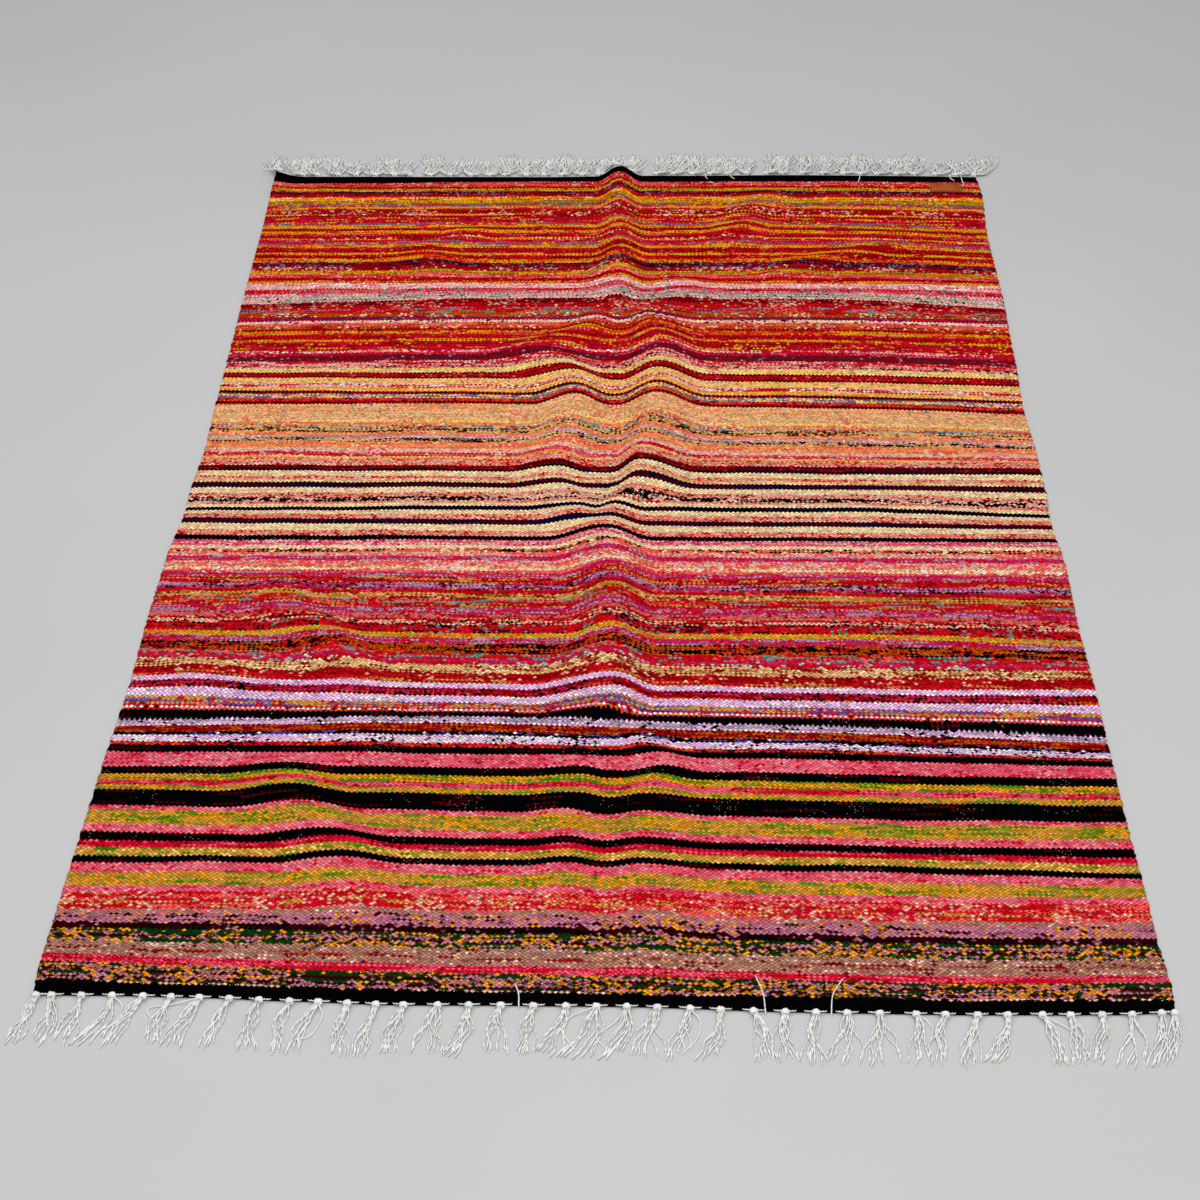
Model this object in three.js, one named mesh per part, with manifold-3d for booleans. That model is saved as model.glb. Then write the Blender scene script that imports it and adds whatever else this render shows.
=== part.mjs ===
// A hand-woven cotton rug with uneven stripes, lying loosely on a floor. It has a knotted white fringe at
// both ends and a small bare leather patch sewn on near the far right corner.
// Millimetres, +Z up. The floor is z = 0, +X runs to the right and +Y to the far end. The origin is on the
// floor under the middle of the rug. "across" is x, and "along" is the distance from the far end.
import * as THREE from 'three';
import { mergeVertices } from 'three/addons/utils/BufferGeometryUtils.js';
import Module from 'manifold-3d';

const wasm = await Module();
wasm.setup();

// Woven cloth
const CLOTH_LENGTH = 2000;
const CLOTH_THICKNESS = 4;
const FOLDED_HALF = 190;
const FOLDED_STEP = 19;
const FLAT_STEP = 65;
const ROW_STEP = 62.5;
const EXTRA_ROWS = [28, 470, 530, 1030, 1477, 1515];
const GAP = 0.3;

// Half widths of the cloth, drawn in at the waist
const OUTLINE = [
  { along: 0, left: 699, right: 697 },
  { along: 60, left: 701, right: 700 },
  { along: 230, left: 697, right: 692 },
  { along: 420, left: 695, right: 694 },
  { along: 600, left: 691, right: 690 },
  { along: 760, left: 688, right: 685 },
  { along: 900, left: 684, right: 690 },
  { along: 1000, left: 688, right: 690 },
  { along: 1060, left: 687, right: 687 },
  { along: 1170, left: 695, right: 694 },
  { along: 1300, left: 696, right: 692 },
  { along: 1450, left: 694, right: 695 },
  { along: 1640, left: 699, right: 695 },
  { along: 1880, left: 702, right: 699 },
  { along: 1960, left: 703, right: 703 },
  { along: 2000, left: 700, right: 701 },
];

// How far the ends run past a straight line, fading out along the cloth
const FAR_EDGE = [
  { across: -700, past: 0 },
  { across: -450, past: 2 },
  { across: -200, past: 4 },
  { across: 100, past: 13 },
  { across: 350, past: 18 },
  { across: 550, past: 17 },
  { across: 700, past: 14 },
];
const NEAR_EDGE = [
  { across: -700, past: -4 },
  { across: -590, past: -5 },
  { across: -490, past: -4 },
  { across: -380, past: -1 },
  { across: -255, past: 2 },
  { across: -100, past: 0 },
  { across: 30, past: -1 },
  { across: 250, past: 3 },
  { across: 435, past: 3 },
  { across: 550, past: 1 },
  { across: 630, past: -1 },
  { across: 700, past: -5 },
];
const EDGE_FADE = 500;

// Folds. Each row is one place along a fold: where its crest lies, how high it rises and how far it spreads.
const FAR_SPINE = [
  { along: 0, crest: -12, rise: 23, left: 47, right: 45 },
  { along: 100, crest: -12, rise: 20, left: 46, right: 46 },
  { along: 200, crest: -8, rise: 18, left: 50, right: 50 },
  { along: 290, crest: -7, rise: 20, left: 52, right: 56 },
  { along: 350, crest: -6, rise: 19, left: 68, right: 54 },
  { along: 400, crest: -6, rise: 18, left: 76, right: 46 },
  { along: 425, crest: -4, rise: 14, left: 70, right: 40 },
  { along: 448, crest: -4, rise: 5, left: 44, right: 24 },
  { along: 475, crest: -4, rise: 0, left: 44, right: 24 },
];
const FAR_SPUR = [
  { along: 345, crest: 95, rise: 0, left: 44, right: 80 },
  { along: 388, crest: 96, rise: 9, left: 46, right: 90 },
  { along: 425, crest: 104, rise: 6, left: 50, right: 80 },
  { along: 455, crest: 90, rise: 0, left: 50, right: 80 },
];
const MAIN_FOLD = [
  { along: 430, crest: 70, rise: 0, left: 45, right: 70 },
  { along: 465, crest: 64, rise: 10, left: 48, right: 80 },
  { along: 502, crest: 46, rise: 16, left: 45, right: 90 },
  { along: 532, crest: 56, rise: 24, left: 58, right: 92 },
  { along: 600, crest: 72, rise: 28, left: 72, right: 80 },
  { along: 650, crest: 66, rise: 29, left: 66, right: 90 },
  { along: 750, crest: 65, rise: 29, left: 70, right: 85 },
  { along: 820, crest: 60, rise: 30, left: 64, right: 95 },
  { along: 862, crest: 46, rise: 26, left: 50, right: 100 },
  { along: 920, crest: 36, rise: 28, left: 42, right: 102 },
  { along: 972, crest: 38, rise: 29, left: 47, right: 96 },
  { along: 1005, crest: 25, rise: 21, left: 40, right: 98 },
  { along: 1032, crest: 0, rise: 13, left: 36, right: 50 },
  { along: 1070, crest: -8, rise: 18, left: 46, right: 60 },
  { along: 1110, crest: -14, rise: 27, left: 94, right: 76 },
  { along: 1165, crest: -5, rise: 27, left: 98, right: 76 },
  { along: 1200, crest: -3, rise: 29, left: 80, right: 80 },
  { along: 1270, crest: 0, rise: 29, left: 76, right: 66 },
  { along: 1340, crest: 0, rise: 26, left: 68, right: 68 },
  { along: 1410, crest: -3, rise: 28, left: 108, right: 76 },
  { along: 1447, crest: 6, rise: 29, left: 130, right: 66 },
  { along: 1477, crest: 8, rise: 27, left: 130, right: 60 },
  { along: 1497, crest: 0, rise: 19, left: 120, right: 56 },
  { along: 1514, crest: -50, rise: 5, left: 100, right: 60 },
  { along: 1532, crest: -50, rise: 0, left: 100, right: 60 },
];
const LEFT_FOLD = [
  { along: 468, crest: -40, rise: 0, left: 60, right: 34 },
  { along: 506, crest: -42, rise: 10, left: 60, right: 35 },
  { along: 540, crest: -60, rise: 15, left: 70, right: 52 },
  { along: 572, crest: -108, rise: 13, left: 108, right: 90 },
  { along: 610, crest: -138, rise: 19, left: 120, right: 108 },
  { along: 650, crest: -105, rise: 21, left: 120, right: 76 },
  { along: 700, crest: -76, rise: 22, left: 100, right: 66 },
  { along: 750, crest: -73, rise: 24, left: 76, right: 62 },
  { along: 800, crest: -75, rise: 22, left: 76, right: 66 },
  { along: 850, crest: -82, rise: 21, left: 72, right: 66 },
  { along: 920, crest: -95, rise: 17, left: 86, right: 52 },
  { along: 975, crest: -95, rise: 11, left: 90, right: 46 },
  { along: 1028, crest: -60, rise: 8, left: 96, right: 40 },
  { along: 1070, crest: -58, rise: 15, left: 70, right: 44 },
  { along: 1108, crest: -58, rise: 0, left: 70, right: 44 },
];
const RIGHT_TAIL = [
  { along: 1526, crest: 45, rise: 0, left: 40, right: 50 },
  { along: 1546, crest: 45, rise: 8, left: 42, right: 52 },
  { along: 1600, crest: 82, rise: 14, left: 58, right: 60 },
  { along: 1632, crest: 65, rise: 13, left: 56, right: 62 },
  { along: 1662, crest: 52, rise: 10, left: 48, right: 90 },
  { along: 1740, crest: 50, rise: 10, left: 50, right: 95 },
  { along: 1850, crest: 46, rise: 10, left: 46, right: 95 },
  { along: 1905, crest: 46, rise: 6, left: 50, right: 90 },
  { along: 1985, crest: 46, rise: 0, left: 50, right: 90 },
];
const LEFT_TAIL = [
  { along: 1572, crest: -30, rise: 0, left: 80, right: 32 },
  { along: 1602, crest: -30, rise: 7, left: 80, right: 32 },
  { along: 1662, crest: -36, rise: 9, left: 90, right: 38 },
  { along: 1690, crest: -50, rise: 10, left: 74, right: 46 },
  { along: 1740, crest: -46, rise: 8, left: 62, right: 45 },
  { along: 1850, crest: -50, rise: 6, left: 70, right: 48 },
  { along: 1960, crest: -50, rise: 0, left: 70, right: 48 },
];
const QUARTER_FOLD = [
  { along: 1205, crest: -508, rise: 0, left: 70, right: 60 },
  { along: 1240, crest: -505, rise: 9, left: 80, right: 60 },
  { along: 1280, crest: -492, rise: 11, left: 90, right: 70 },
  { along: 1330, crest: -432, rise: 14, left: 110, right: 74 },
  { along: 1355, crest: -412, rise: 17, left: 100, right: 70 },
  { along: 1388, crest: -395, rise: 18, left: 90, right: 70 },
  { along: 1412, crest: -386, rise: 10, left: 80, right: 80 },
  { along: 1445, crest: -380, rise: 5, left: 80, right: 80 },
  { along: 1485, crest: -380, rise: 0, left: 80, right: 80 },
];
const SIDE_SWELL = [
  { along: 1375, crest: -600, rise: 0, left: 80, right: 90 },
  { along: 1412, crest: -598, rise: 8, left: 85, right: 95 },
  { along: 1468, crest: -596, rise: 6, left: 85, right: 95 },
  { along: 1505, crest: -596, rise: 0, left: 80, right: 90 },
];
const NEAR_FOLD = [
  { along: 1582, crest: -445, rise: 0, left: 90, right: 80 },
  { along: 1616, crest: -440, rise: 10, left: 100, right: 80 },
  { along: 1650, crest: -425, rise: 17, left: 110, right: 84 },
  { along: 1682, crest: -410, rise: 18, left: 110, right: 86 },
  { along: 1722, crest: -375, rise: 17, left: 120, right: 86 },
  { along: 1756, crest: -350, rise: 16, left: 110, right: 90 },
  { along: 1820, crest: -336, rise: 11, left: 90, right: 90 },
  { along: 1848, crest: -322, rise: 7, left: 90, right: 90 },
  { along: 1885, crest: -320, rise: 0, left: 90, right: 90 },
];
const FAR_LEFT_RIPPLE = [
  { along: 178, crest: -300, rise: 0, left: 50, right: 60 },
  { along: 226, crest: -308, rise: 8, left: 52, right: 62 },
  { along: 264, crest: -372, rise: 5, left: 80, right: 74 },
  { along: 306, crest: -370, rise: 10, left: 92, right: 80 },
  { along: 345, crest: -350, rise: 5, left: 90, right: 80 },
  { along: 380, crest: -345, rise: 0, left: 90, right: 80 },
];
const FAR_RIGHT_RIPPLE = [
  { along: 45, crest: 285, rise: 0, left: 80, right: 50 },
  { along: 92, crest: 280, rise: 7, left: 84, right: 54 },
  { along: 150, crest: 236, rise: 12, left: 92, right: 62 },
  { along: 200, crest: 226, rise: 13, left: 84, right: 70 },
  { along: 236, crest: 212, rise: 7, left: 80, right: 70 },
  { along: 270, crest: 210, rise: 0, left: 80, right: 70 },
];
const RIGHT_RIPPLE = [
  { along: 228, crest: 500, rise: 0, left: 100, right: 100 },
  { along: 258, crest: 490, rise: 7, left: 108, right: 108 },
  { along: 286, crest: 422, rise: 7, left: 96, right: 92 },
  { along: 306, crest: 362, rise: 9, left: 100, right: 82 },
  { along: 340, crest: 312, rise: 5, left: 80, right: 80 },
  { along: 382, crest: 305, rise: 0, left: 80, right: 80 },
];
const FOLDS = [
  FAR_SPINE, FAR_SPUR, MAIN_FOLD, LEFT_FOLD, RIGHT_TAIL, LEFT_TAIL, QUARTER_FOLD, SIDE_SWELL, NEAR_FOLD,
  FAR_LEFT_RIPPLE, FAR_RIGHT_RIPPLE, RIGHT_RIPPLE,
];

// The far left corner curls up
const CORNER_RISE = 13;
const CORNER_ACROSS = 48;
const CORNER_ALONG = 110;

// Fringe: a narrow heading along each end, knots on it and three locks of yarn out of each knot
const HEADING_DEPTH = 5;
const HEADING_HEIGHT = 3.4;
const FAR_KNOTS = 38;
const FAR_KNOT_MARGIN = 11;
const FAR_KNOT_DRIFT = 5;
const KNOT_LENGTH = 9;
const KNOT_OUT = 5.6;
const KNOT_ROOT_RADIUS = 4.8;
const KNOT_TIP_RADIUS = 5.4;
const KNOT_SIDES = 6;
const KNOT_FLATNESS = 0.8;
const LOCK_WIDTH = 3.2;
const LOCK_HEIGHT = 2.6;
const LOCK_ROOT_STEP = 3.4;
const LOCK_REACH = 58;
const LOCK_REACH_SPREAD = 13;
const SAG_REACH = 42;
const FAR_FAN = 9;
const FAR_BOW = 5;

// How far the locks of the far fringe lean sideways
const FAR_LEAN = [
  { across: -700, lean: -24 },
  { across: -480, lean: -11 },
  { across: -200, lean: 7 },
  { across: 60, lean: 14 },
  { across: 300, lean: 15 },
  { across: 560, lean: 8 },
  { across: 700, lean: 29 },
];

// Tassels of the near fringe: where each is knotted, where its three locks end and how far it bows
const NEAR_TASSELS = [
  { knot: -694, left: -717, middle: -711, right: -700, bow: 0 },
  { knot: -675, left: -686, middle: -676, right: -664, bow: 3 },
  { knot: -638, left: -657, middle: -649, right: -641, bow: 0 },
  { knot: -600, left: -634, middle: -628, right: -621, bow: 6 },
  { knot: -562, left: -600, middle: -594, right: -587, bow: -4 },
  { knot: -527, left: -547, middle: -541, right: -534, bow: -4 },
  { knot: -492, left: -524, middle: -513, right: -506, bow: -5 },
  { knot: -455, left: -477, middle: -470, right: -462, bow: -4 },
  { knot: -418, left: -431, middle: -425, right: -408, bow: -5 },
  { knot: -380, left: -395, middle: -387, right: -377, bow: -6 },
  { knot: -345, left: -371, middle: -365, right: -358, bow: -7 },
  { knot: -309, left: -318, middle: -312, right: -305, bow: -3 },
  { knot: -274, left: -295, middle: -288, right: -276, bow: -3 },
  { knot: -240, left: -261, middle: -253, right: -245, bow: -4 },
  { knot: -198, left: -222, middle: -202, right: -192, bow: -3 },
  { knot: -160, left: -181, middle: -174, right: -166, bow: 5 },
  { knot: -121, left: -136, middle: -128, right: -113, bow: -5 },
  { knot: -81, left: -92, middle: -85, right: -78, bow: -3 },
  { knot: -41, left: -71, middle: -63, right: -51, bow: 4 },
  { knot: -4, left: -43, middle: -28, right: -13, bow: 5 },
  { knot: 33, left: 3, middle: 17, right: 25, bow: 5 },
  { knot: 70, left: 41, middle: 52, right: 76, bow: -4 },
  { knot: 110, left: 87, middle: 97, right: 106, bow: -3 },
  { knot: 147, left: 120, middle: 131, right: 141, bow: 4 },
  { knot: 187, left: 194, middle: 202, right: 209, bow: 4 },
  { knot: 225, left: 217, middle: 227, right: 238, bow: -3 },
  { knot: 262, left: 247, middle: 258, right: 268, bow: -3 },
  { knot: 300, left: 276, middle: 293, right: 309, bow: 3 },
  { knot: 339, left: 318, middle: 338, right: 361, bow: 0 },
  { knot: 383, left: 376, middle: 386, right: 394, bow: 4 },
  { knot: 418, left: 402, middle: 409, right: 416, bow: -5 },
  { knot: 457, left: 432, middle: 441, right: 451, bow: -4 },
  { knot: 493, left: 463, middle: 472, right: 479, bow: 5 },
  { knot: 535, left: 547, middle: 554, right: 561, bow: 5 },
  { knot: 569, left: 568, middle: 575, right: 582, bow: 3 },
  { knot: 607, left: 589, middle: 595, right: 602, bow: 3 },
  { knot: 643, left: 623, middle: 634, right: 647, bow: 4 },
  { knot: 679, left: 655, middle: 662, right: 669, bow: 4 },
  { knot: 695, left: 677, middle: 684, right: 691, bow: 2 },
];

// Single yarns that flopped back over the cloth: where they start and where the tip lies, in from the edge
const NEAR_FLOPPED = [
  { across: -99, tip: -105, back: 30 },
  { across: 201, tip: 190, back: 50 },
  { across: 281, tip: 297, back: 48 },
];
const FAR_FLOPPED = [
  { across: 158, tip: 162, back: 14 },
  { across: 208, tip: 216, back: 16 },
  { across: 466, tip: 461, back: 26 },
  { across: 644, tip: 651, back: 18 },
  { across: 667, tip: 668, back: 33 },
];
const FLOPPED_WIDTH = 2.4;
const FLOPPED_HEIGHT = 1.8;
const FLOPPED_CLEAR = 0.5;

// Leather patch
const PATCH_WIDTH = 60;
const PATCH_HEIGHT = 31;
const PATCH_THICKNESS = 1.6;
const PATCH_CORNER = 1.2;
const PATCH_ACROSS = 633;
const PATCH_ALONG = 31;
const PATCH_TURN = THREE.MathUtils.degToRad(-1.2);

const cotton = new THREE.MeshStandardMaterial({ color: 0xc23a2e, roughness: 0.95, metalness: 0 });
const fringeCotton = new THREE.MeshStandardMaterial({ color: 0xe9e6df, roughness: 0.95, metalness: 0 });
const leather = new THREE.MeshStandardMaterial({ color: 0x94582a, roughness: 0.6, metalness: 0 });

// A fixed small scatter from -1 to 1 for one numbered thing
function scatter(index, kind) {
  const wave = Math.sin(index * 12.9898 + kind * 78.233) * 43758.5453;
  return (wave - Math.floor(wave)) * 2 - 1;
}

// The row of a table at one place, eased between its neighbours
function rowAt(table, key, place) {
  const next = table.findIndex((row) => row[key] >= place);
  if (next === 0) return table[0];
  if (next < 0) return table[table.length - 1];
  const before = table[next - 1];
  const after = table[next];
  const share = THREE.MathUtils.smoothstep(place, before[key], after[key]);
  const row = {};
  for (const name of Object.keys(after)) row[name] = THREE.MathUtils.lerp(before[name], after[name], share);
  return row;
}

function foldHeight(fold, across, along) {
  if (along < fold[0].along || along > fold[fold.length - 1].along) return 0;
  const row = rowAt(fold, 'along', along);
  const off = across - row.crest;
  const reach = off < 0 ? row.left : row.right;
  return Math.abs(off) < reach ? row.rise * 0.5 * (1 + Math.cos(Math.PI * off / reach)) : 0;
}

function cornerHeight(across, along) {
  const side = Math.max(0, 1 - (across + OUTLINE[0].left) / CORNER_ACROSS);
  const end = Math.max(0, 1 - along / CORNER_ALONG);
  return CORNER_RISE * Math.min(1, side) ** 1.6 * end ** 1.6;
}

function clothHeight(across, along) {
  return FOLDS.reduce((sum, fold) => sum + foldHeight(fold, across, along), cornerHeight(across, along));
}

// A point of the cloth's underside
function clothPoint(column, along) {
  const { left, right } = rowAt(OUTLINE, 'along', along);
  const across = column < 0 ? column * left / OUTLINE[0].left : column * right / OUTLINE[0].right;
  const farShare = Math.max(0, 1 - along / EDGE_FADE);
  const nearShare = Math.max(0, 1 - (CLOTH_LENGTH - along) / EDGE_FADE);
  const farPast = rowAt(FAR_EDGE, 'across', across).past * farShare;
  const nearPast = rowAt(NEAR_EDGE, 'across', across).past * nearShare;
  const y = CLOTH_LENGTH / 2 - along + farPast - nearPast;
  return new THREE.Vector3(across, y, clothHeight(across, along));
}

function clothColumns() {
  const columns = [];
  const sides = Math.ceil((OUTLINE[0].left - FOLDED_HALF) / FLAT_STEP);
  const middle = Math.ceil(2 * FOLDED_HALF / FOLDED_STEP);
  for (let i = 0; i < sides; i++) {
    columns.push(THREE.MathUtils.lerp(-OUTLINE[0].left, -FOLDED_HALF, i / sides));
  }
  columns.splice(1, 0, -OUTLINE[0].left + CORNER_ACROSS / 3, -OUTLINE[0].left + CORNER_ACROSS * 2 / 3);
  for (let i = 0; i <= middle; i++) {
    columns.push(THREE.MathUtils.lerp(-FOLDED_HALF, FOLDED_HALF, i / middle));
  }
  for (let i = 1; i <= sides; i++) {
    columns.push(THREE.MathUtils.lerp(FOLDED_HALF, OUTLINE[0].right, i / sides));
  }
  return columns;
}

function clothRows() {
  const rows = [...EXTRA_ROWS];
  for (let along = 0; along <= CLOTH_LENGTH; along += ROW_STEP) rows.push(along);
  return rows.sort((a, b) => a - b);
}

function indexedGeometry(points, triangles) {
  const geometry = new THREE.BufferGeometry();
  geometry.setAttribute('position', new THREE.Float32BufferAttribute(points.flatMap((p) => p.toArray()), 3));
  geometry.setIndex(triangles);
  return geometry;
}

// A closed solid through rings of points that all have the same number of corners. Seen from the last ring,
// the corners run anticlockwise.
function ringedGeometry(rings) {
  const corners = rings[0].length;
  const triangles = [];
  for (let ring = 0; ring + 1 < rings.length; ring++) {
    for (let i = 0; i < corners; i++) {
      const a = ring * corners + i;
      const b = ring * corners + (i + 1) % corners;
      triangles.push(a, b, b + corners, a, b + corners, a + corners);
    }
  }
  const last = (rings.length - 1) * corners;
  for (let i = 1; i + 1 < corners; i++) {
    triangles.push(0, i + 1, i);
    triangles.push(last, last + i, last + i + 1);
  }
  return indexedGeometry(rings.flat(), triangles);
}

function clothGeometry() {
  const columns = clothColumns();
  const rows = clothRows();
  const up = new THREE.Vector3(0, 0, CLOTH_THICKNESS);
  const under = rows.flatMap((along) => columns.map((column) => clothPoint(column, along)));
  const points = [...under, ...under.map((point) => point.clone().add(up))];
  const wide = columns.length;
  const top = under.length;
  const triangles = [];
  for (let row = 0; row + 1 < rows.length; row++) {
    for (let col = 0; col + 1 < wide; col++) {
      const a = row * wide + col;
      const c = a + wide;
      triangles.push(a, a + 1, c + 1, a, c + 1, c);
      triangles.push(top + a, top + c + 1, top + a + 1, top + a, top + c, top + c + 1);
    }
  }
  const rim = [];
  for (let col = 0; col + 1 < wide; col++) rim.push(col);
  for (let row = 0; row + 1 < rows.length; row++) rim.push(row * wide + wide - 1);
  for (let col = wide - 1; col > 0; col--) rim.push((rows.length - 1) * wide + col);
  for (let row = rows.length - 1; row > 0; row--) rim.push(row * wide);
  rim.forEach((a, i) => {
    const b = rim[(i + 1) % rim.length];
    triangles.push(a, top + b, b, a, top + a, top + b);
  });
  return indexedGeometry(points, triangles);
}

// The heading lies along the cloth's end, following its rise and fall
function headingGeometry(along, outward) {
  const rings = clothColumns().map((column) => {
    const edge = clothPoint(column, along);
    const inner = edge.y + outward * GAP;
    const outer = inner + outward * HEADING_DEPTH;
    const [low, high] = outward > 0 ? [inner, outer] : [outer, inner];
    return [
      new THREE.Vector3(edge.x, low, edge.z),
      new THREE.Vector3(edge.x, high, edge.z),
      new THREE.Vector3(edge.x, high, edge.z + HEADING_HEIGHT),
      new THREE.Vector3(edge.x, low, edge.z + HEADING_HEIGHT),
    ];
  });
  return ringedGeometry(rings);
}

// A knot is a squat six-sided lump that rests on one of its sides
function knotGeometry(root, outward) {
  const geometry = new THREE.CylinderGeometry(KNOT_TIP_RADIUS, KNOT_ROOT_RADIUS, KNOT_LENGTH, KNOT_SIDES);
  geometry.rotateY(Math.PI / KNOT_SIDES);
  geometry.rotateZ(outward > 0 ? 0 : Math.PI);
  geometry.scale(1, 1, KNOT_FLATNESS);
  geometry.computeBoundingBox();
  geometry.translate(root.x, root.y, root.z - geometry.boundingBox.min.z);
  return geometry;
}

// A lock of yarn with a flat underside, three-sided, along a path of underside points
function lockGeometry(path, width, height) {
  const rings = path.map((point, i) => {
    const ahead = path[Math.min(i + 1, path.length - 1)];
    const behind = path[Math.max(i - 1, 0)];
    const side = new THREE.Vector3(behind.y - ahead.y, ahead.x - behind.x, 0).setLength(width / 2);
    return [
      point.clone().sub(side),
      point.clone().setZ(point.z + height),
      point.clone().add(side),
    ].reverse();
  });
  return ringedGeometry(rings);
}

// The locks of a tassel come out of its knot side by side and run to their own tips on the floor
function lockPath(root, outward, tip, place, bow, reach) {
  return [0, 0.5, 1].map((share) => {
    const out = KNOT_LENGTH * 0.3 + share * reach;
    const straight = THREE.MathUtils.lerp(root.x + place * LOCK_ROOT_STEP, tip, share);
    const x = straight + bow * Math.sin(Math.PI * share);
    const fall = Math.max(0, 1 - share * reach / SAG_REACH) ** 2;
    return new THREE.Vector3(x, root.y + outward * out, root.z * fall);
  });
}

// A single yarn that comes up over the edge and lies back on the cloth
function floppedPath(row, along, outward) {
  const edge = clothPoint(row.across, along);
  const over = edge.z + CLOTH_THICKNESS + FLOPPED_CLEAR;
  const inside = along - outward * -row.back;
  const tip = clothPoint(row.tip, inside);
  return [
    new THREE.Vector3(row.across, edge.y + outward * (HEADING_DEPTH - 1), edge.z + 1),
    new THREE.Vector3(row.across, edge.y + outward * GAP * 5, over),
    new THREE.Vector3((row.across + row.tip) / 2, (edge.y + tip.y) / 2, over),
    new THREE.Vector3(row.tip, tip.y, tip.z + CLOTH_THICKNESS + FLOPPED_CLEAR),
  ];
}

function solidOf(geometry) {
  geometry.deleteAttribute('normal');
  geometry.deleteAttribute('uv');
  const merged = mergeVertices(geometry);
  return new wasm.Manifold(new wasm.Mesh({
    numProp: 3,
    vertProperties: merged.attributes.position.array,
    triVerts: Uint32Array.from(merged.index.array),
  }));
}

function geometryOf(solid) {
  const mesh = solid.getMesh();
  const geometry = new THREE.BufferGeometry();
  geometry.setAttribute('position', new THREE.BufferAttribute(mesh.vertProperties, 3));
  geometry.setIndex(new THREE.BufferAttribute(mesh.triVerts, 1));
  return geometry;
}

function farTassels() {
  const spread = OUTLINE[0].left - FAR_KNOT_MARGIN;
  return Array.from({ length: FAR_KNOTS }, (_, index) => {
    const place = THREE.MathUtils.lerp(-spread, spread, index / (FAR_KNOTS - 1));
    const knot = place + scatter(index, 0) * FAR_KNOT_DRIFT;
    const middle = knot + rowAt(FAR_LEAN, 'across', knot).lean;
    const left = middle - FAR_FAN * (1 + scatter(index, 1) * 0.3);
    const right = middle + FAR_FAN * (1 + scatter(index, 2) * 0.3);
    return { knot, left, middle, right, bow: scatter(index, 3) * FAR_BOW };
  });
}

function fringeGeometry(along, outward, tassels, flopped) {
  let fringe = solidOf(headingGeometry(along, outward));
  tassels.forEach((tassel, index) => {
    const root = clothPoint(tassel.knot, along);
    root.y += outward * KNOT_OUT;
    fringe = fringe.add(solidOf(knotGeometry(root, outward)));
    [tassel.left, tassel.middle, tassel.right].forEach((tip, lock) => {
      const reach = LOCK_REACH + LOCK_REACH_SPREAD * 0.5 * (1 + scatter(index, lock + 5));
      const path = lockPath(root, outward, tip, lock - 1, tassel.bow, reach);
      fringe = fringe.add(solidOf(lockGeometry(path, LOCK_WIDTH, LOCK_HEIGHT)));
    });
  });
  for (const row of flopped) {
    const path = floppedPath(row, along, outward);
    fringe = fringe.add(solidOf(lockGeometry(path, FLOPPED_WIDTH, FLOPPED_HEIGHT)));
  }
  return geometryOf(fringe);
}

function patchGeometry() {
  const x = PATCH_WIDTH / 2;
  const y = PATCH_HEIGHT / 2;
  const outline = new THREE.Shape();
  outline.moveTo(-x + PATCH_CORNER, -y);
  outline.lineTo(x - PATCH_CORNER, -y);
  outline.absarc(x - PATCH_CORNER, -y + PATCH_CORNER, PATCH_CORNER, -Math.PI / 2, 0);
  outline.absarc(x - PATCH_CORNER, y - PATCH_CORNER, PATCH_CORNER, 0, Math.PI / 2);
  outline.absarc(-x + PATCH_CORNER, y - PATCH_CORNER, PATCH_CORNER, Math.PI / 2, Math.PI);
  outline.absarc(-x + PATCH_CORNER, -y + PATCH_CORNER, PATCH_CORNER, Math.PI, Math.PI * 1.5);
  return new THREE.ExtrudeGeometry(outline, { depth: PATCH_THICKNESS, bevelEnabled: false, curveSegments: 3 });
}

function named(name, geometry, material) {
  const mesh = new THREE.Mesh(geometry, material);
  mesh.name = name;
  return mesh;
}

const rug = new THREE.Group();
rug.add(named('rug_cloth', clothGeometry(), cotton));
rug.add(named('fringe_far', fringeGeometry(0, 1, farTassels(), FAR_FLOPPED), fringeCotton));
rug.add(named('fringe_near', fringeGeometry(CLOTH_LENGTH, -1, NEAR_TASSELS, NEAR_FLOPPED), fringeCotton));

const patch = named('leather_patch', patchGeometry(), leather);
patch.position.set(PATCH_ACROSS, CLOTH_LENGTH / 2 - PATCH_ALONG, CLOTH_THICKNESS + GAP);
patch.rotation.z = PATCH_TURN;
rug.add(patch);

export default rug;
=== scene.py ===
import math
from collections import namedtuple

import bpy
import bmesh
import numpy as np
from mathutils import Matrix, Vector


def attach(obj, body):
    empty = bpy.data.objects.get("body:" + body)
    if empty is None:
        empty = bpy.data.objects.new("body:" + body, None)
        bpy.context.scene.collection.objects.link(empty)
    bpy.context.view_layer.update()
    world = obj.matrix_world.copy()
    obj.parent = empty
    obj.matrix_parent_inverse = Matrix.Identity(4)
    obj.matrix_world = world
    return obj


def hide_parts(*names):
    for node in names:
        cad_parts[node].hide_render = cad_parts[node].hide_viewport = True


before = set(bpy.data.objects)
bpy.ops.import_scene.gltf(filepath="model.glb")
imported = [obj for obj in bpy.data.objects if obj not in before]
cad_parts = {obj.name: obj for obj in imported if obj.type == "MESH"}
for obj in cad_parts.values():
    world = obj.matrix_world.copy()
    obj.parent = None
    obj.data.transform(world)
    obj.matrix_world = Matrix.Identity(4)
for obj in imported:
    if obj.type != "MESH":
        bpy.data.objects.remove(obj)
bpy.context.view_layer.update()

# A hand-woven cotton rag rug with uneven stripes, lying loosely on a floor, with a knotted white fringe
# at both ends and a small bare leather patch near the far right corner.
# Sizes are in millimetres and become metres where a mesh or a material is made. "Across" is x, and "along"
# is the distance from the far end of the cloth.
MM = 0.001

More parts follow.
